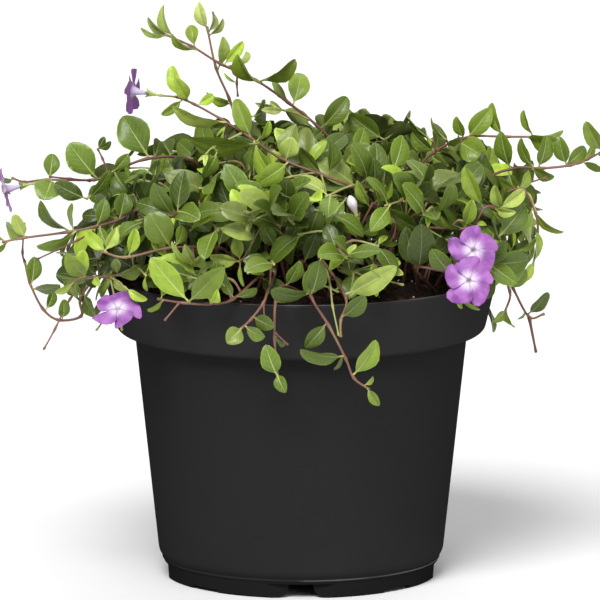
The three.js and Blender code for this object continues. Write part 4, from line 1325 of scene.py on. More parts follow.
# Leaves as closed tubes. The section goes over the top from edge to edge and back underneath, and it
# narrows into a round petiole. Half the width is sin(pi s^swell)^(point + footPoint (1-s)), where s runs
# from the petiole to the tip, so the foot tapers and the tip is blunt.
# The rib follows arch times v(1-v), less a curl of s cubed, and the blade folds up along it and waves.
def leafSurface(leaves):
    shape, count = leafShape, len(leaves)
    pick = {k: np.array([leaf[k] for leaf in leaves]) for k in leaves[0]}
    each = {k: value[:, None, None] for k, value in pick.items()}
    v = np.array(shape["stations"])[None, :, None]
    u = np.array(shape["across"], float)[None, None, :]
    top, sides = shape["topSteps"], len(shape["across"])
    under = (np.arange(sides) > top)[None, None, :]
    centre = u == 0
    start = shape["petiole"]
    s = ((v - start) / (1 - start)).clip(0, 1)
    power = each["point"] + shape["footPoint"] * (1 - s)
    half = each["width"] / 2 * np.sin(math.pi * s ** each["swell"]).clip(0) ** power
    blend = np.clip((v - shape["blendFrom"]) / shape["blendOver"], 0, 1) * np.ones_like(half)
    thick = shape["thickness"] / 2 * (1 - u**2)
    across = u * half
    lift = np.abs(u) * half * each["fold"]
    wave = np.sin(shape["waves"] * s + each["wave"] + shape["waveShift"] * (u > 0))
    lift = lift + shape["waveHeight"] * half * u**2 * wave
    lift = lift + shape["bulge"] * half * np.sin(math.pi * np.abs(u))
    upper, lower = thick - shape["groove"] * centre, -thick - shape["ridge"] * (1 - s) * centre
    lift = lift + np.where(under, lower, upper)
    angle = np.append(np.linspace(math.pi, 0, top + 1)[:-1], np.linspace(0, -math.pi, sides - top + 1)[:-1])
    radius = shape["petioleRadius"] * (each["length"] / shape["usualLength"]) ** 0.5
    across = across * blend + radius * np.cos(angle) * (1 - blend)
    lift = lift * blend + radius * np.sin(angle) * (1 - blend)
    roll = each["twist"] * (s - shape["twistCentre"])
    across, lift = across * np.cos(roll) - lift * np.sin(roll), across * np.sin(roll) + lift * np.cos(roll)

    def rib(v, s, length, curl):
        return plant["leafArch"] * length * v * (1 - v) - curl * length * s**3

    lift = lift + rib(v, s, each["length"], each["curl"])
    run = each["length"] * v * np.ones_like(across)
    points = each["base"] + run[..., None] * each["along"] + across[..., None] * each["side"]
    points = (points + lift[..., None] * each["normal"]).reshape(count, -1, 3)
    tipLift = rib(1.0, 1.0, pick["length"], pick["curl"])[:, None]
    tip = pick["base"] + pick["along"] * pick["length"][:, None] + pick["normal"] * tipLift
    points = np.concatenate([points, pick["base"][:, None], tip[:, None]], axis=1)

    rings = len(shape["stations"])
    share = np.stack(np.broadcast_arrays(u + 0 * half, s + 0 * half), axis=-1).reshape(count, -1, 2)
    share = np.concatenate([share, np.zeros((count, 1, 2)), np.tile([0.0, 1.0], (count, 1, 1))], axis=1)
    size = np.stack(np.broadcast_arrays(u * half, v * each["length"] + 0 * half), axis=-1)
    ends = np.stack([np.zeros((count, 2)), np.stack([0 * pick["length"], pick["length"]], axis=-1)], axis=1)
    size = np.concatenate([size.reshape(count, -1, 2), ends], axis=1)
    quads, tris = tubeFaces(rings, sides)
    below = np.arange(sides) >= top
    marks = np.concatenate([np.tile(np.tile(below, rings - 1), count), np.tile(np.tile(below, 2), count)])
    step = rings * sides + 2
    maps = {"bladeShare": share.reshape(-1, 2), "bladeSize": size.reshape(-1, 2)}
    values = {k: np.repeat(pick[k], step) for k in ("age", "tone")}
    quads, tris = copied(quads, count, step), copied(tris, count, step)
    return points.reshape(-1, 3), quads, tris, maps, values, {"underside": marks}


# How each leaf differs from the next: the ranges of what is drawn, with young leaves narrower and more folded
leafVariety = {
    "youngFrom": 0.7,
    "youngFold": (0.3, 0.75),
    "youngWidth": 0.82,
    "fold": (0.05, 0.42),
    "curl": (-0.05, 0.14),
    "twist": (-0.35, 0.35),
    "wave": (0, 2 * math.pi),
    "swell": (0.88, 1.2),
    "point": (0.42, 0.66),
    "width": (0.92, 1.12),
}


def varyLeaves(leaves):
    variety = leafVariety
    for leaf in leaves:
        young = leaf["age"] > variety["youngFrom"]
        leaf["tone"] = rng.random()
        leaf["fold"] = rng.uniform(*variety["youngFold" if young else "fold"])
        for key in ("curl", "twist", "wave", "swell", "point"):
            leaf[key] = rng.uniform(*variety[key])
        narrowed = variety["youngWidth"] if young else 1.0
        leaf["width"] = leaf["width"] * rng.uniform(*variety["width"]) * narrowed


# The round tube of a stem, in steps from node to node, and how it swells at each node and ends
stemShape = {"sides": 7, "steps": 5, "swelling": 0.3, "swellReach": 1.1, "tip": 0.7}


# A stem: a round tube on a Catmull-Rom curve through its nodes, tapered, and swollen at each node by
# swelling times exp(-(d / reach)^2)
def stemSurface(stem):
    nodes, sides, steps = stem["points"], stemShape["sides"], stemShape["steps"]
    ends = np.concatenate([[2 * nodes[0] - nodes[1]], nodes, [2 * nodes[-1] - nodes[-2]]])
    p0, p1, p2, p3 = (ends[i : len(nodes) - 1 + i][:, None] for i in range(4))
    t = (np.arange(steps) / steps)[None, :, None]
    squared, cubed = (2 * p0 - 5 * p1 + 4 * p2 - p3) * t**2, (3 * (p1 - p2) + p3 - p0) * t**3
    curve = 0.5 * (2 * p1 + (p2 - p0) * t + squared + cubed)
    path = np.concatenate([curve.reshape(-1, 3), nodes[-1:]])
    tangent = np.gradient(path, axis=0)
    tangent = tangent / np.linalg.norm(tangent, axis=1, keepdims=True)
    flat = np.linalg.svd(path - path.mean(0))[2][2]
    side = np.cross(tangent, flat)
    side = side / np.linalg.norm(side, axis=1, keepdims=True)
    other = np.cross(tangent, side)
    share = np.linspace(0, 1, len(path))
    toNode = np.linalg.norm(path[:, None] - nodes[None], axis=2).min(axis=1)
    first, last = stem["radii"]
    swelling = stemShape["swelling"] * np.exp(-((toNode / stemShape["swellReach"]) ** 2))
    radius = first + (last - first) * share + swelling
    angle = around(sides)
    ring = np.cos(angle)[None, :, None] * side[:, None] + np.sin(angle)[None, :, None] * other[:, None]
    rings = path[:, None] + ring * radius[:, None, None]
    tip = path[-1] + tangent[-1] * radius[-1] * stemShape["tip"]
    points = np.concatenate([rings.reshape(-1, 3), path[:1], [tip]])
    quads, tris = tubeFaces(len(path), sides)
    old, young = stem["age"]
    age = old + (young - old) * share
    age = np.concatenate([np.repeat(age, sides), age[:1], age[-1:]])
    return points, quads, tris, age


# Several surfaces put into one, with their faces counted on
def joined(parts):
    points, quads, tris, extra, count = [], [], [], [], 0
    for part in parts:
        points.append(part[0])
        quads.append(part[1] + count)
        tris.append(part[2] + count)
        extra.append(part[3])
        count += len(part[0])
    return tuple(np.concatenate(x) for x in (points, quads, tris, extra))


# Leaf of an evergreen trailer: a waxy cuticle, glossy above and matt below, with a pale sunken rib, faint
# side veins and a thin pale margin, partly its own colour and partly a painted highlight along the edge. It
# gives soft highlights on mid green, and yellow-green young tips.
def leafMaterial():
    look = {
        "old": "334213",
        "grown": "566B1F",
        "young": "96AF36",
        "tender": "C2CF78",
        "pale": "8A974A",
        "under": "78864A",
        "rib": "ABB472",
        "petiole": "98A055",
        "ribWidth": 0.38,
        "ribTipWidth": 0.08,
        "veinSpacing": 2.9,
        "veinSlope": 1.1,
        "veinWaver": 0.9,
        "veinEdge": (0.03, 0.16, 1.0, 0.0),
        "mottleScale": 260.0,
        "brightness": (0.0, 1.0, 0.66, 1.45),
        "roughness": (0.3, 0.7, 0.36, 0.46),
        "bumpDistance": 0.0003,
    }
    skin = Material("waxy_evergreen_leaf", IOR=1.45, Specular_IOR_Level=0.4, Coat_Weight=0.1)
    compute, times, ramp = skin.compute, skin.times, skin.ramp
    across, along = skin.mapped("bladeShare")
    aside, run = skin.mapped("bladeSize")
    age, tone, under = (skin.carried(name) for name in ("age", "tone", "underside"))
    mottle = skin.noise(look["mottleScale"], 3.0)

    edge, fromRib = compute("ABSOLUTE", across), compute("ABSOLUTE", aside)
    ribWidth = ramp(along, 0.0, 0.95, look["ribWidth"], look["ribTipWidth"])
    rib = ramp(compute("DIVIDE", fromRib, ribWidth), 0.45, 1.3, 1.0, 0.0)
    climb = compute("SUBTRACT", run, times(fromRib, look["veinSlope"]))
    climb = compute("ADD", climb, times(mottle, look["veinWaver"]))
    wave = compute("FRACT", compute("ADD", compute("DIVIDE", climb, look["veinSpacing"]), tone))
    vein = ramp(compute("ABSOLUTE", compute("SUBTRACT", wave, 0.5)), *look["veinEdge"])
    vein = times(vein, ramp(edge, 0.45, 0.9, 1.0, 0.0))
    margin = ramp(edge, 0.86, 1.0)

    base = skin.layered(
        look["old"],
        (ramp(age, 0.0, 0.45), look["grown"]),
        (times(tone, 0.55), look["grown"]),
        (ramp(age, 0.4, 1.0), look["young"]),
        (ramp(age, 1.0, 1.3), look["tender"]),
        (ramp(tone, 0.84, 0.95, 0.0, 0.8), look["pale"]),
        (times(ramp(mottle, 0.35, 0.7), 0.35), look["grown"]),
        (times(under, 0.75), look["under"]),
        (times(vein, 0.08), look["rib"]),
        # the pale margin: partly the leaf's own pale edge, partly a painted highlight where the edge glints
        (times(margin, 0.25), look["young"]),
        (times(rib, 0.6), look["rib"]),
        (ramp(along, 0.0, 0.12, 1.0, 0.0), look["petiole"]),
    )
    # The tone, multiplied and cut to its fraction, is a second draw that sets the leaf's brightness
    lighter = ramp(compute("FRACT", times(tone, 7.3)), *look["brightness"])
    skin.feed("Base Color", skin.brighter(lighter, base))
    skin.feed("Roughness", compute("ADD", times(under, 0.2), ramp(mottle, *look["roughness"])))
    height = compute("ADD", times(rib, -0.6), times(vein, -0.35))
    skin.bump(0.5, look["bumpDistance"], compute("ADD", height, times(mottle, 0.35)))
    return skin.made


# Bark of a trailing stem: thin and smooth, red-brown where it is old and pale green where it still grows
def stemMaterial():
    look = {
        "old": (0.05, "5E3F36"),
        "middle": (0.45, "7F5A49"),
        "young": (0.85, "9CA45E"),
        "streakScale": 700.0,
        "patchScale": 45.0,
        "patchShift": 1.1,
        "streaks": (0.75, 1.25),
        "bumpDistance": 0.0002,
    }
    bark = Material("smooth_stem_bark", IOR=1.45, Roughness=0.48)
    streak = bark.noise(look["streakScale"], 4.0)
    shift = bark.compute("ADD", bark.noise(look["patchScale"]), -0.5)
    feeds = {0: shift, 1: look["patchShift"], 2: bark.carried("age")}
    shift = bark.node("Math", feeds, operation="MULTIPLY_ADD").outputs[0]
    bands = bark.node("ValToRGB", {"Fac": shift})
    elements = bands.color_ramp.elements
    for element, name in ((elements[0], "old"), (elements[1], "young")):
        element.position, element.color = look[name][0], colour(look[name][1])
    elements.new(look["middle"][0]).color = colour(look["middle"][1])
    low, high = look["streaks"]
    value = bark.node("MapRange", {"Value": streak, "To Min": low, "To Max": high}).outputs[0]
    bark.feed("Base Color", bark.brighter(value, bands.outputs[0]))
    bark.bump(0.4, look["bumpDistance"], streak)
    return bark.made


# A flower seen along its tube: where the points of one petal lie round it, and its rows from the foot of
# the tube, up its outside, out under the petals, back over them and down the throat. The ranges are
# those of what is drawn for each petal.
bloomShape = {
    "petals": 5,
    "offsets": [-36, -35.2, -33.5, -30, -23, -12, 0, 12, 23, 30, 33.5, 35.2],
    "outside": [(0.75, -9.0), (0.9, -6.5), (1.25, -4.2), (1.75, -2.4), (2.3, -1.1)],
    "under": [0.0, 0.3, 0.65, 0.93, 1.0],
    "over": [1.0, 0.93, 0.78, 0.6, 0.42, 0.25, 0.1, 0.0],
    "inside": [(1.2, -0.9), (0.9, -2.4)],
    "poleDepths": (9.1, 3.4),
    "throat": 1.6,
    "slitRadius": 4.0,
    "rimPower": 0.45,
    "petalReach": 11.8,
    "slant": 2.4,
    "overlap": 7.0,
    "thickness": 0.24,
    "swerve": (-8, 8),
    "reach": (0.88, 1.04),
    "droop": (-0.8, 2.4),
    "tilt": (0.9, 1.4),
    "phase": (0, 6),
}


# The rim of a petal lies at slit + (reach - slit) * (1 - |a|^6)^0.45, where a runs from -1 to 1 across it.
# The petals tilt like the blades of a fan and lap over their neighbours outside the slits. They droop a
# little, each by its own amount, and ripple.
def bloomSurface(flower):
    shape, petals, steps = bloomShape, bloomShape["petals"], len(bloomShape["offsets"])
    petal, ringSides, halfTurn = np.repeat(np.arange(petals), steps), petals * steps, 180 / petals

    def drawn(key):
        return rng.uniform(*shape[key], petals)[petal]

    across = np.tile(np.array(shape["offsets"]) / halfTurn, petals)
    swerve = drawn("swerve") * (1 - across**2)
    angle = np.radians(petal * 2 * halfTurn + across * halfTurn + swerve + flower["turn"])
    reach = shape["petalReach"] * drawn("reach") - shape["slant"] * across
    reach = (reach + 0.25 * np.sin(5 * across + petal)) * flower["share"]
    slit = shape["slitRadius"]
    rim = slit + (reach - slit) * (1 - np.abs(across) ** 6) ** shape["rimPower"]
    droop, tilt, phase = drawn("droop"), drawn("tilt"), drawn("phase")
    throat = shape["throat"] - 0.3 * np.cos(5 * np.radians(across * halfTurn))

    # The limb's height over the throat: a fan's tilt, a droop, a ripple, and a dip into the throat
    def limb(radius):
        share = radius / 12
        ripple = 1.0 * share**1.5 * np.sin(4.2 * across + phase + 2.4 * share)
        dip = 0.8 * np.clip(1 - share / 0.35, 0, 1) ** 2
        return tilt * across * share**1.3 - droop * share**2 + ripple - dip

    def tubeRows(key):
        return [(np.full(ringSides, radius), np.full(ringSides, height)) for radius, height in shape[key]]

    # Rows from the throat, or a little outside it underneath, to the rim, where the petal thins to half
    def limbRows(key, outside, hand):
        rows = []
        for share in shape[key]:
            foot = outside * (1 - share)
            radius = throat + foot + share * (rim - throat - foot)
            rows.append((radius, limb(radius) + hand * shape["thickness"] * (0.5 - 0.25 * (share == 1))))
        return rows

    rows = tubeRows("outside") + limbRows("under", 1.1, -1) + limbRows("over", 0.0, 1) + tubeRows("inside")
    side, up = bloomFrame(flower["way"])
    radius, height = (np.array([row[i] for row in rows]) for i in (0, 1))
    angle = angle + np.radians(shape["overlap"]) * across * np.clip((radius - slit) / 4, 0, 1)
    points = flower["centre"] + (radius * np.cos(angle))[..., None] * side
    points = points + (radius * np.sin(angle))[..., None] * up + height[..., None] * flower["way"]
    poles = [flower["centre"] - flower["way"] * depth for depth in shape["poleDepths"]]
    points = np.concatenate([points.reshape(-1, 3), poles])
    quads, tris = tubeFaces(len(rows), ringSides)
    polar = np.stack([np.broadcast_to(across, radius.shape), radius], axis=-1).reshape(-1, 2)
    polar = np.concatenate([polar, np.zeros((2, 2))])
    tone = np.append(np.tile(rng.random(petals)[petal], len(rows)), [0.5, 0.5])
    behind = len(shape["outside"]) + len(shape["under"]) - 1
    onOutside = np.repeat(np.arange(len(rows) - 1) < behind, ringSides)
    marks = np.concatenate([onOutside, np.repeat([1, 0], ringSides)])
    return points, quads, tris, {"petalPolar": polar}, {"tone": tone}, {"outside": marks}


# A closed bud as a spindle: where its rings lie, their radii, and its soft wound ridges
budShape = {
    "sides": 20,
    "run": [0, 0.1, 0.25, 0.4, 0.55, 0.68, 0.8, 0.9, 0.97],
    "radii": [0.7, 0.85, 1.0, 1.45, 2.05, 2.3, 1.95, 1.3, 0.6],
    "ridge": 0.1,
    "halfTurns": 2.5,
    "beyondTube": 3.5,
    "start": 0.3,
}


# Petals rolled round each other: the radius is that of the spindle times 1 + ridge |cos(2.5 (angle + run))|
def budSurface(flower):
    shape, turns = budShape, budShape["halfTurns"]
    run, width = np.array(shape["run"])[:, None], np.array(shape["radii"])[:, None]
    angle = around(shape["sides"])[None, :]
    radius = width * (1 + shape["ridge"] * np.abs(np.cos(turns * angle + turns * run)))
    length = plant["tubeLength"] + shape["beyondTube"]
    way, start = flower["way"], shape["start"]
    side, up = bloomFrame(way)
    points = flower["calyx"] + way * start + (run * length + 0 * angle)[..., None] * way
    points = points + (radius * np.cos(angle))[..., None] * side + (radius * np.sin(angle))[..., None] * up
    poles = [flower["calyx"] + way * (start + length * share) for share in (0, 1)]
    quads, tris = tubeFaces(len(run), shape["sides"])
    polar = np.stack(np.broadcast_arrays(angle / math.pi - 1, run), axis=-1).reshape(-1, 2)
    polar = np.concatenate([polar, [[0, 0], [0, 1]]])
    return np.concatenate([points.reshape(-1, 3), poles]), quads, tris, {"petalPolar": polar}, {}, {}


# The calyx at the head of a flower's stalk: narrow sepals on a small cup, in mm from the stalk's end
calyxShape = {
    "sepals": 5,
    "length": 3.6,
    "width": 1.7,
    "spread": 1.3,
    "footBelow": 1.2,
    "footOut": 0.7,
    "turn": (-0.2, 0.2),
    "age": 0.9,
    "cup": (-2.4, 0.4),
}


def addCalyx(spray, flower):
    shape, way, head = calyxShape, flower["way"], flower["calyx"]
    side, up = bloomFrame(way)
    for k in range(shape["sepals"]):
        angle = k * 2 * math.pi / shape["sepals"] + rng.uniform(*shape["turn"])
        outward = side * math.cos(angle) + up * math.sin(angle)
        base = head - way * shape["footBelow"] + outward * shape["footOut"]
        tip = base + way * shape["length"] + outward * shape["spread"]
        leaf = makeLeaf(base, tip, -outward, shape["width"])
        leaf["age"] = shape["age"]
        spray["leaves"].append(leaf)
    radii, age = stemKinds["cup"]
    cup = np.array([head + way * step for step in shape["cup"]])
    spray["stems"].append({"points": cup, "radii": radii, "age": age})


def pieceFor(node, ending, slot, surface, material, sharpAngle=None):
    points, quads, tris, maps, values, marks = surface
    piece = putMesh(node + ending, points, quads, tris, material, values, maps, marks, sharpAngle)
    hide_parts(node)


# Petals: thin and matt with a soft sheen. Violet, mauve where the light falls through, and painted shade
# along one side of each petal, with a white star round the throat that runs out in fine streaks, and grey
# clefts between the scales of the throat.
def petalMaterial():
    look = {
        "violet": "7C418F",
        "mauve": "9F63AC",
        # deep violet: painted shade on one side of each petal, and the darker veins
        "deep": "632F7C",
        "star": "D9CBE0",
        "cleft": "6B6478",
        "throat": "B9B2C0",
        "tube": "B5A6C4",
        "starRadius": 3.4,
        "starInside": 1.8,
        "starOutside": 3.4,
        "starStreaks": -5.0,
        "streaks": 9.0,
        "streakLength": 0.16,
        "blotchScale": 190.0,
        "bumpDistance": 0.0002,
    }
    skin = Material("violet_petal_skin", Roughness=0.55, IOR=1.4, Sheen_Weight=0.15)
    compute, times, ramp = skin.compute, skin.times, skin.ramp
    across, radius = skin.mapped("petalPolar")
    tone, outside = skin.carried("tone"), skin.carried("outside")
    stretch = {0: times(across, look["streaks"]), 1: times(radius, look["streakLength"]), 2: tone}
    streak = skin.noise(1.0, 3.0, skin.node("CombineXYZ", stretch).outputs[0])
    blotch = skin.noise(look["blotchScale"])
    reach = compute("ADD", radius, times(compute("SUBTRACT", streak, 0.5), look["starStreaks"]))
    starFrom, starTo = look["starRadius"] - look["starInside"], look["starRadius"] + look["starOutside"]
    clefts = times(ramp(compute("ABSOLUTE", across), 0.7, 1.0), ramp(radius, 2.4, 4.0, 1.0, 0.0))
    behind = skin.layered(look["tube"], (ramp(radius, 1.6, 5.0), look["violet"]))
    base = skin.layered(
        look["violet"],
        (ramp(blotch, 0.38, 0.62), look["mauve"]),
        (times(tone, 0.5), look["mauve"]),
        # painted shade: one side of each petal is darker, where its fan tilt turns it from the light
        (ramp(across, 0.3, 1.0, 0.0, 0.4), look["deep"]),
        (times(ramp(streak, 0.5, 0.75), 0.3), look["deep"]),
        (ramp(reach, starFrom, starTo, 0.95, 0.0), look["star"]),
        (times(clefts, 0.7), look["cleft"]),
        (ramp(radius, 0.9, 1.5, 0.8, 0.0), look["throat"]),
        (outside, behind),
    )
    skin.feed("Base Color", base)
    skin.bump(0.35, look["bumpDistance"], streak)
    return skin.made


# A bud's skin: rolled petals, cream at the foot and white towards the tip, flushed with mauve along the folds
def budMaterial():
    look = {"foot": "CFC98F", "skin": "EDE6E4", "flush": "B795BE"}
    skin = Material("pale_bud_skin", Roughness=0.5, IOR=1.4)
    turn, run = skin.mapped("petalPolar")
    turns = budShape["halfTurns"]
    wound = skin.compute("ADD", skin.times(turn, turns * math.pi), skin.times(run, turns))
    fold = skin.ramp(skin.compute("ABSOLUTE", skin.compute("COSINE", wound)), 0.0, 0.5, 1.0, 0.0)
    layers = ((skin.ramp(run, 0.2, 0.55), look["skin"]), (skin.times(fold, 0.5), look["flush"]))
    skin.feed("Base Color", skin.layered(look["foot"], *layers))
    return skin.made


# Moulded polypropylene, black right through: matt, with a very fine grain, faint dust low on the wall, a rim
# band painted lighter to make up for the shade that the leaves cast on it, painted shade on the foot under
# the bead, and painted highlights along the bead above the foot and along the lip. Heights are in metres.
def potMaterial():
    look = {
        "black": "262626",
        "dusty": "2B2A2A",
        "rimPaintedLight": "2D2C2C",
        "foot": "1C1C1C",
        "lipPaintedHighlight": "626262",
        "beadPaintedHighlight": "585858",
        "patchScale": 22.0,
        "grainScale": 1800.0,
        "dustFade": (0.0, 0.05, 1.0, 0.15),
        "bandFoot": (0.119, 0.122),
        "footTop": (0.0076, 0.0084, 1.0, 0.0),
        "beadFoot": (0.0083, 0.0086),
        "beadTop": (0.0089, 0.0092, 1.0, 0.0),
        "lip": (0.1474, 0.1479),
        "roughness": (0.3, 0.7, 0.46, 0.56),
        "bumpDistance": 0.0001,
    }
    plastic = Material("moulded_black_polypropylene", IOR=1.49, Specular_IOR_Level=0.0)
    times, ramp = plastic.times, plastic.ramp
    height = plastic.node("SeparateXYZ", {0: plastic.place()}).outputs[2]
    broad, grain = plastic.noise(look["patchScale"], 4.0), plastic.noise(look["grainScale"])
    bead = times(ramp(height, *look["beadFoot"]), ramp(height, *look["beadTop"]))
    base = plastic.layered(
        look["black"],
        (times(ramp(height, *look["dustFade"]), ramp(broad, 0.45, 0.75)), look["dusty"]),
        # painted light: the rim band is lighter, to make up for the shade that the leaves cast on it
        (ramp(height, *look["bandFoot"]), look["rimPaintedLight"]),
        # painted shade: the foot, set in under the bead, is darker
        (ramp(height, *look["footTop"]), look["foot"]),
        # painted highlight: a thin lighter line along the crest of the bead, broken by the patches
        (times(bead, ramp(broad, 0.46, 0.6)), look["beadPaintedHighlight"]),
        # painted highlight: a broken light grey line along the lip, where the rim would catch the light
        (times(ramp(height, *look["lip"]), ramp(broad, 0.4, 0.62, 0.25, 1.0)), look["lipPaintedHighlight"]),
    )
    plastic.feed("Base Color", base)
    plastic.feed("Roughness", ramp(broad, *look["roughness"]))
    plastic.bump(0.12, look["bumpDistance"], grain)
    return plastic.made


# Peat: dark, matt and loose, with rusty fibres
def peatMaterial():
    look = {"dark": "120D0A", "brown": "2A1A12", "rusty": "5E3320", "crumbScale": 420.0, "fibreScale": 330.0}
    peatMix = Material("loose_peat_mix", Roughness=0.92, Specular_IOR_Level=0.25)
    fine = peatMix.noise(look["crumbScale"], 6.0)
    cells = peatMix.node("TexVoronoi", {"Vector": peatMix.place(), "Scale": look["fibreScale"]})
    pick = peatMix.node("SeparateXYZ", {0: cells.outputs["Color"]}).outputs[0]
    fibres = peatMix.times(peatMix.ramp(pick, 0.8, 0.95), 0.7)
    layers = ((peatMix.ramp(fine, 0.35, 0.65), look["brown"]), (fibres, look["rusty"]))
    peatMix.feed("Base Color", peatMix.layered(look["dark"], *layers))
    peatMix.bump(0.9, 0.0006, fine)
    return peatMix.made


# Grains of perlite: white foamed glass, matt and slightly dirty
def perliteMaterial():
    look = {"clean": "E4DFD5", "dirty": "A89C8C", "dirtScale": 500.0}
    foam = Material("foamed_perlite", Roughness=0.85)
    dirt = foam.ramp(foam.noise(look["dirtScale"], 3.0), 0.4, 0.7)
    foam.feed("Base Color", foam.layered(look["clean"], (dirt, look["dirty"])))
    return foam.made


# A line of [radius, height] points with its corners rounded off by short quadratic curves
def rounded(corners, size, steps=4, most=0.45):
    corners = np.array(corners, float)
    line = [corners[:1]]
    t = np.linspace(0, 1, steps + 1)[:, None]
    for before, corner, after in zip(corners[:-2], corners[1:-1], corners[2:]):
        reach = [min(size, most * np.linalg.norm(p - corner)) for p in (before, after)]
        first, last = corner + unit(before - corner) * reach[0], corner + unit(after - corner) * reach[1]
        line.append((1 - t) ** 2 * first + 2 * (1 - t) * t * corner + t**2 * last)
    return np.concatenate(line + [corners[-1:]])


# A line turned about the axis. Its ends lie on the axis and become poles. The line runs so that each ring
# turns right-handed about its way, which is upwards on an outer wall.
def turnedSurface(line, sides):
    angle = around(sides)
    radius, height = line[1:-1, 0][:, None], line[1:-1, 1][:, None]
    rings = np.stack(np.broadcast_arrays(radius * np.cos(angle), radius * np.sin(angle), height), axis=-1)
    poles = [[0, 0, line[0, 1]], [0, 0, line[-1, 1]]]
    quads, tris = tubeFaces(len(line) - 2, sides)
    return np.concatenate([rings.reshape(-1, 3), poles]), quads, tris


# What is cut from the foot of the pot: wide arches in shallow recesses, notches between them, and holes in
# the floor
potCuts = {
    "archFootHalf": 12.0,
    "archTopHalf": 5.6,
    "archHeight": 7.0,
    "archSteer": 0.6,
    "recessWidth": 32.0,
    "recessDepth": 1.8,
    "notchWidth": 16.5,
    "notchHeight": 1.5,
    "holeRadius": 5.0,
    "holeCircle": 46.0,
    "firstTurns": {"arch": 0, "recess": 0, "notch": 45, "hole": 0},
}


# A closed prism from an outline [across, up], run along Y between two depths, as points and faces
def prism(outline, near, far):
    outline = np.array(outline, float)
    count = len(outline)
    points = [[x, y, z] for y in (near, far) for x, z in outline]
    i = np.arange(count)
    j = (i + 1) % count
    sides = np.stack([j, i, i + count, j + count], axis=-1)
    return np.array(points), [list(range(count)), list(range(count, 2 * count))[::-1]] + sides.tolist()


# A prism with a rectangular outline, from below the foot to a height
def boxPrism(width, below, top, near, far):
    half = width / 2
    return prism([[half, below], [half, top], [-half, top], [-half, below]], near, far)


# The tools of each cut, four of them round the pot. They reach past the walls, so that nothing is left.
def potCutters():
    cuts, front, top = potCuts, -potSizes["footRadius"], potCuts["archHeight"]
    t = np.linspace(0, 1, 10)[:, None]
    low, high = arr(cuts["archFootHalf"], 0), arr(cuts["archTopHalf"], top)
    steer = arr(cuts["archTopHalf"] + cuts["archSteer"], cuts["archSteer"])
    right = (1 - t) ** 2 * low + 2 * (1 - t) * t * steer + t**2 * high
    outline = np.concatenate([[[low[0], -2]], right, right[::-1] * [-1, 1], [[-low[0], -2]]])
    turn = np.linspace(0, 2 * math.pi, 25)[:-1]
    ring = np.stack([np.cos(turn), np.sin(turn)], axis=-1) * cuts["holeRadius"]
    points, faces = prism(ring, -3, 3)
    points = points[:, [0, 2, 1]] * [1, 1, -1] + [0, -cuts["holeCircle"], potSizes["floorHeight"] + 1]
    shapes = {
        "arch": prism(outline, front - 4, front + 5),
        "recess": boxPrism(cuts["recessWidth"], -3, top, front - 2, front + cuts["recessDepth"]),
        "notch": boxPrism(cuts["notchWidth"], -2.5, cuts["notchHeight"], front - 6, front + 6),
        "hole": (points, faces),
    }
    tools = []
    for name, (points, faces) in shapes.items():
        mesh = bpy.data.meshes.new("cut_" + name)
        whole, listed = [], []
        for quarter in range(4):
            angle = math.radians(cuts["firstTurns"][name] + 90 * quarter)
            cos, sin = math.cos(angle), math.sin(angle)
            spin = np.array([[cos, -sin, 0], [sin, cos, 0], [0, 0, 1]])
            listed += [[i + len(whole) * len(points) for i in face] for face in faces]
            whole.append(points @ spin.T * metresPerMm)
        mesh.from_pydata(np.concatenate(whole).tolist(), [], listed)
        tools.append(bpy.data.objects.new("cut_" + name, mesh))
        bpy.context.scene.collection.objects.link(tools[-1])
    return tools


# How finely the pot is turned, how far its corners are rounded, and from which angle an edge is sharp
potFinish = {"sides": 160, "rounding": 0.9, "sharpAngle": 32}


# The pot, a thin stepped shell with rounded corners, cut at its foot
def makePot(material):
    size = potSizes
    wall, thick, foot = size["wallTopRadius"], size["wallThickness"], size["footRadius"]
    wallFoot, footTop = size["wallFootRadius"], size["footHeight"]
    rim, top = size["rimTopRadius"], size["height"]
    underFloor, floor = size["floorHeight"], size["floorHeight"] + size["floorThickness"]
    line = [
        [0, underFloor],
        [foot - size["footThickness"], underFloor],
        [foot - size["footThickness"], 0],
        [foot, 0],
        # The bead above the foot, and the rounded step up to the wall
        [foot + 0.7, footTop - 2.6],
        [foot + 1.5, footTop - 2.3],
        [foot + 1.5, footTop - 1.8],
        [foot + 0.9, footTop - 1.5],
        [wallFoot - 0.7, footTop + 0.4],
        [wallFoot, footTop + 2.4],
        # The step out to the rim band, and the lip
        [wall, bandFoot - 0.6],
        [bandRadius - 1.4, bandFoot],
        [bandRadius, bandFoot + 1.6],
        [rim, top - 0.8],
        [rim - 0.8, top],
        [rim - 2, top - 0.4],
        # Down the inside
        [bandRadius - thick, bandFoot + 2],
        [wall - thick, bandFoot + 0.9],
        [wallFoot - thick, footTop + 3],
        [foot - size["footThickness"], floor],
        [0, floor],
    ]
    points, quads, tris = turnedSurface(rounded(line, potFinish["rounding"]), potFinish["sides"])
    piece = putMesh("pot_shell", points, quads, tris, material)
    tools = potCutters()
    for tool in tools:
        cut = piece.modifiers.new(tool.name, "BOOLEAN")
        cut.object, cut.operation, cut.solver = tool, "DIFFERENCE", "EXACT"
    bpy.context.view_layer.update()
    mesh = bpy.data.meshes.new_from_object(piece.evaluated_get(bpy.context.evaluated_depsgraph_get()))
    piece.modifiers.clear()
    piece.data = mesh
    mesh.name = "pot_shell"
    mesh.materials.clear()
    mesh.materials.append(material)
    mesh.set_sharp_from_angle(angle=math.radians(potFinish["sharpAngle"]))
    for tool in tools:
        bpy.data.meshes.remove(tool.data)
    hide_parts("pot")


# Smooth noise over the plane: draws on a grid that repeats, blended between its points
noiseGrid = 64


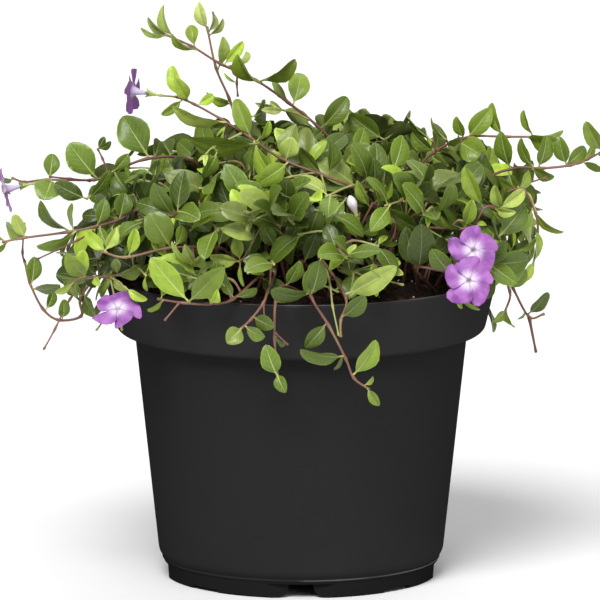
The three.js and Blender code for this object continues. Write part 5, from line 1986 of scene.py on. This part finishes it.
def planeNoise(x, y, cell, source):
    grid = source.uniform(-1, 1, (noiseGrid, noiseGrid))
    gx, gy = x / cell + 200.5, y / cell + 200.5
    ix, iy = np.floor(gx).astype(int), np.floor(gy).astype(int)
    fx, fy = gx - ix, gy - iy
    fx, fy = fx * fx * (3 - 2 * fx), fy * fy * (3 - 2 * fy)
    corner = [grid[(ix + a) % noiseGrid, (iy + b) % noiseGrid] for a in (0, 1) for b in (0, 1)]
    return (corner[0] * (1 - fy) + corner[1] * fy) * (1 - fx) + (corner[2] * (1 - fy) + corner[3] * fy) * fx


# How the soil's top is roughened, by lumps of [cell, height], and the grains that lie on it
peat = {
    "seed": 5,
    "rings": 62,
    "sides": 200,
    "lumps": [(14.0, 0.8), (5.0, 0.7), (2.2, 0.6)],
    "fade": (2, 0.15, 1),
    "crumbs": 1500,
    "crumbSizes": (0.5, 1.7),
    "perlite": 70,
    "perliteSizes": (0.7, 1.5),
}

# A grain: rings of [height, radius] and its two poles, each point moved a little and the whole stretched
grainShape = {
    "sides": 6,
    "heights": [-0.6, 0.1, 0.65],
    "radii": [0.7, 1.0, 0.65],
    "poles": [[0, 0, -0.9], [0, 0, 0.9]],
    "moved": (0.75, 1.25),
    "stretched": (0.6, 1.3),
    "fromWall": 1.2,
    "raised": 0.35,
}


# The soil's radius at its top: that of the rim band's inside at that height, less a gap
def soilTopRadius(gap):
    inside = bandRadius - potSizes["wallThickness"]
    slope = (potSizes["rimTopRadius"] - 2 - inside) / (potSizes["rimBandHeight"] - 2.8)
    return inside + (potSizes["soilEdgeHeight"] - bandFoot - 2.4) * slope - gap


def makeSoil(material, perlite):
    size, thick, gap = potSizes, potSizes["wallThickness"], plant["pieceGap"] + 0.1
    source, top = np.random.default_rng(peat["seed"]), soilTopRadius(gap)
    low = size["floorHeight"] + size["floorThickness"] + gap
    side = [
        [0, low],
        [size["footRadius"] - size["footThickness"] - gap, low],
        [size["wallFootRadius"] - thick - gap, size["footHeight"] + 3.4],
        [size["wallTopRadius"] - thick - gap, bandFoot + 1.6],
        [bandRadius - thick - gap, bandFoot + 2.9],
    ]
    inward = np.linspace(top, 0, peat["rings"])
    line = np.concatenate([side, np.stack([inward, soilHeight(inward)], axis=-1)])
    points, quads, tris = turnedSurface(line, peat["sides"])
    over, least, most = peat["fade"]

    # The lumps fade towards the wall
    def rough(x, y):
        fade = np.clip((top - np.hypot(x, y)) / over, least, most)
        sources = [(cell, high, np.random.default_rng(int(cell))) for cell, high in peat["lumps"]]
        return fade * sum(planeNoise(x, y, cell, lumps) * high for cell, high, lumps in sources)

    def putSoil(name, points, quads, tris, look):
        piece = putMesh(name, points, quads, tris, look)
        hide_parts("soil")

    onTop = points[:, 2] > size["soilEdgeHeight"] - 0.5
    points[onTop, 2] += rough(points[onTop, 0], points[onTop, 1])
    putSoil("peat_bed", points, quads, tris, material)

    grain, sides = grainShape, grainShape["sides"]
    heights, radii = (np.array(grain[key])[None, :, None] for key in ("heights", "radii"))
    angle = around(sides)[None, None, :]
    shape = np.stack(np.broadcast_arrays(radii * np.cos(angle), radii * np.sin(angle), heights), axis=-1)
    shape = np.concatenate([shape.reshape(1, -1, 3), [grain["poles"]]], axis=1)
    quads, tris = tubeFaces(len(grain["heights"]), sides)
    step = shape.shape[1]
    for name, count, sizes, look in (
        ("peat_crumbs", peat["crumbs"], peat["crumbSizes"], material),
        ("perlite_grains", peat["perlite"], peat["perliteSizes"], perlite),
    ):
        body = np.repeat(shape, count, axis=0) * source.uniform(*grain["moved"], (count, step, 1))
        half = np.exp(source.uniform(*np.log(sizes), count))[:, None, None] / 2
        axes = np.linalg.qr(source.normal(size=(count, 3, 3)))[0]
        axes = axes * np.sign(np.linalg.det(axes))[:, None, None]
        body = body * half * source.uniform(*grain["stretched"], (count, 1, 3))
        body = np.einsum("nij,nkj->nki", axes, body)
        radius = (top - grain["fromWall"]) * np.sqrt(source.random(count))
        turn = source.uniform(0, 2 * math.pi, count)
        x, y = radius * np.cos(turn), radius * np.sin(turn)
        z = soilHeight(radius) + rough(x, y) + half[:, 0, 0] * grain["raised"]
        points = (body + np.stack([x, y, z], axis=-1)[:, None]).reshape(-1, 3)
        putSoil(name, points, copied(quads, count, step), copied(tris, count, step), look)


makePot(potMaterial())
makeSoil(peatMaterial(), perliteMaterial())
print("pot and soil made")

# What a flower is made of, by its kind: the ending of its name, its surface, its slot and its material
flowerKinds = {
    "bloom": ("_petals", bloomSurface, "violet_petal", petalMaterial()),
    "bud": ("_skin", budSurface, "pale_bud", budMaterial()),
}
sharpAngles = {"flower": 70, "leaves": 75}
leafLook, stemLook = leafMaterial(), stemMaterial()
for spray in sprays:
    name, flower = spray["name"], spray["flower"]
    if flower:
        addCalyx(spray, flower)
        ending, surfaceOf, slotName, look = flowerKinds[flower["kind"]]
        node = name + "_" + flower["kind"]
        pieceFor(node, ending, slotName, surfaceOf(flower), look, sharpAngles["flower"])
    varyLeaves(spray["leaves"])
    leaves = leafSurface(spray["leaves"])
    pieceFor(name, "_leaves", "evergreen_leaf", leaves, leafLook, sharpAngles["leaves"])
    points, quads, tris, age = joined([stemSurface(stem) for stem in spray["stems"]])
    pieceFor(name, "_stems", "evergreen_leaf", (points, quads, tris, {}, {"age": age}, {}), stemLook)
print("leaves, stems and flowers made")

# A plain pale floor under soft light: a broad key from the front left, a fill from the right, a soft light
# from behind, and pale air. A lamp has its bearing and rise, its strength, and how wide its light is.
stage = {
    "floor": "E8E8E8",
    "floorHalfMetres": 60,
    "air": "FFFFFF",
    "airStrength": 0.18,
    "lamps": [("key", (-16, 48), 3.5, 30), ("fill", (38, 32), 0.95, 60), ("back", (165, 60), 1.0, 60)],
}


def makeStage():
    cloth = Material("matt_white_floor", Roughness=0.9, Specular_IOR_Level=0.1)
    cloth.shader.inputs["Base Color"].default_value = colour(stage["floor"])
    mesh = bpy.data.meshes.new("floor")
    half = stage["floorHalfMetres"]
    corners = [(-half, -half, 0), (half, -half, 0), (half, half, 0), (-half, half, 0)]
    mesh.from_pydata(corners, [], [(0, 1, 2, 3)])
    mesh.materials.append(cloth.made)
    floor = bpy.data.objects.new("floor", mesh)
    bpy.context.scene.collection.objects.link(floor)
    for name, (bearing, rise), strength, width in stage["lamps"]:
        lamp = bpy.data.lights.new(name, "SUN")
        lamp.energy = strength
        lamp.angle = math.radians(width)
        holder = bpy.data.objects.new(name, lamp)
        holder.rotation_euler = (math.radians(90 - rise), 0, math.radians(bearing))
        bpy.context.scene.collection.objects.link(holder)
    world = bpy.data.worlds.new("air")
    world.use_nodes = True
    ground = world.node_tree.nodes["Background"]
    ground.inputs["Color"].default_value = colour(stage["air"])
    ground.inputs["Strength"].default_value = stage["airStrength"]
    bpy.context.scene.world = world
    bpy.context.scene.view_settings.view_transform = "Standard"


makeStage()
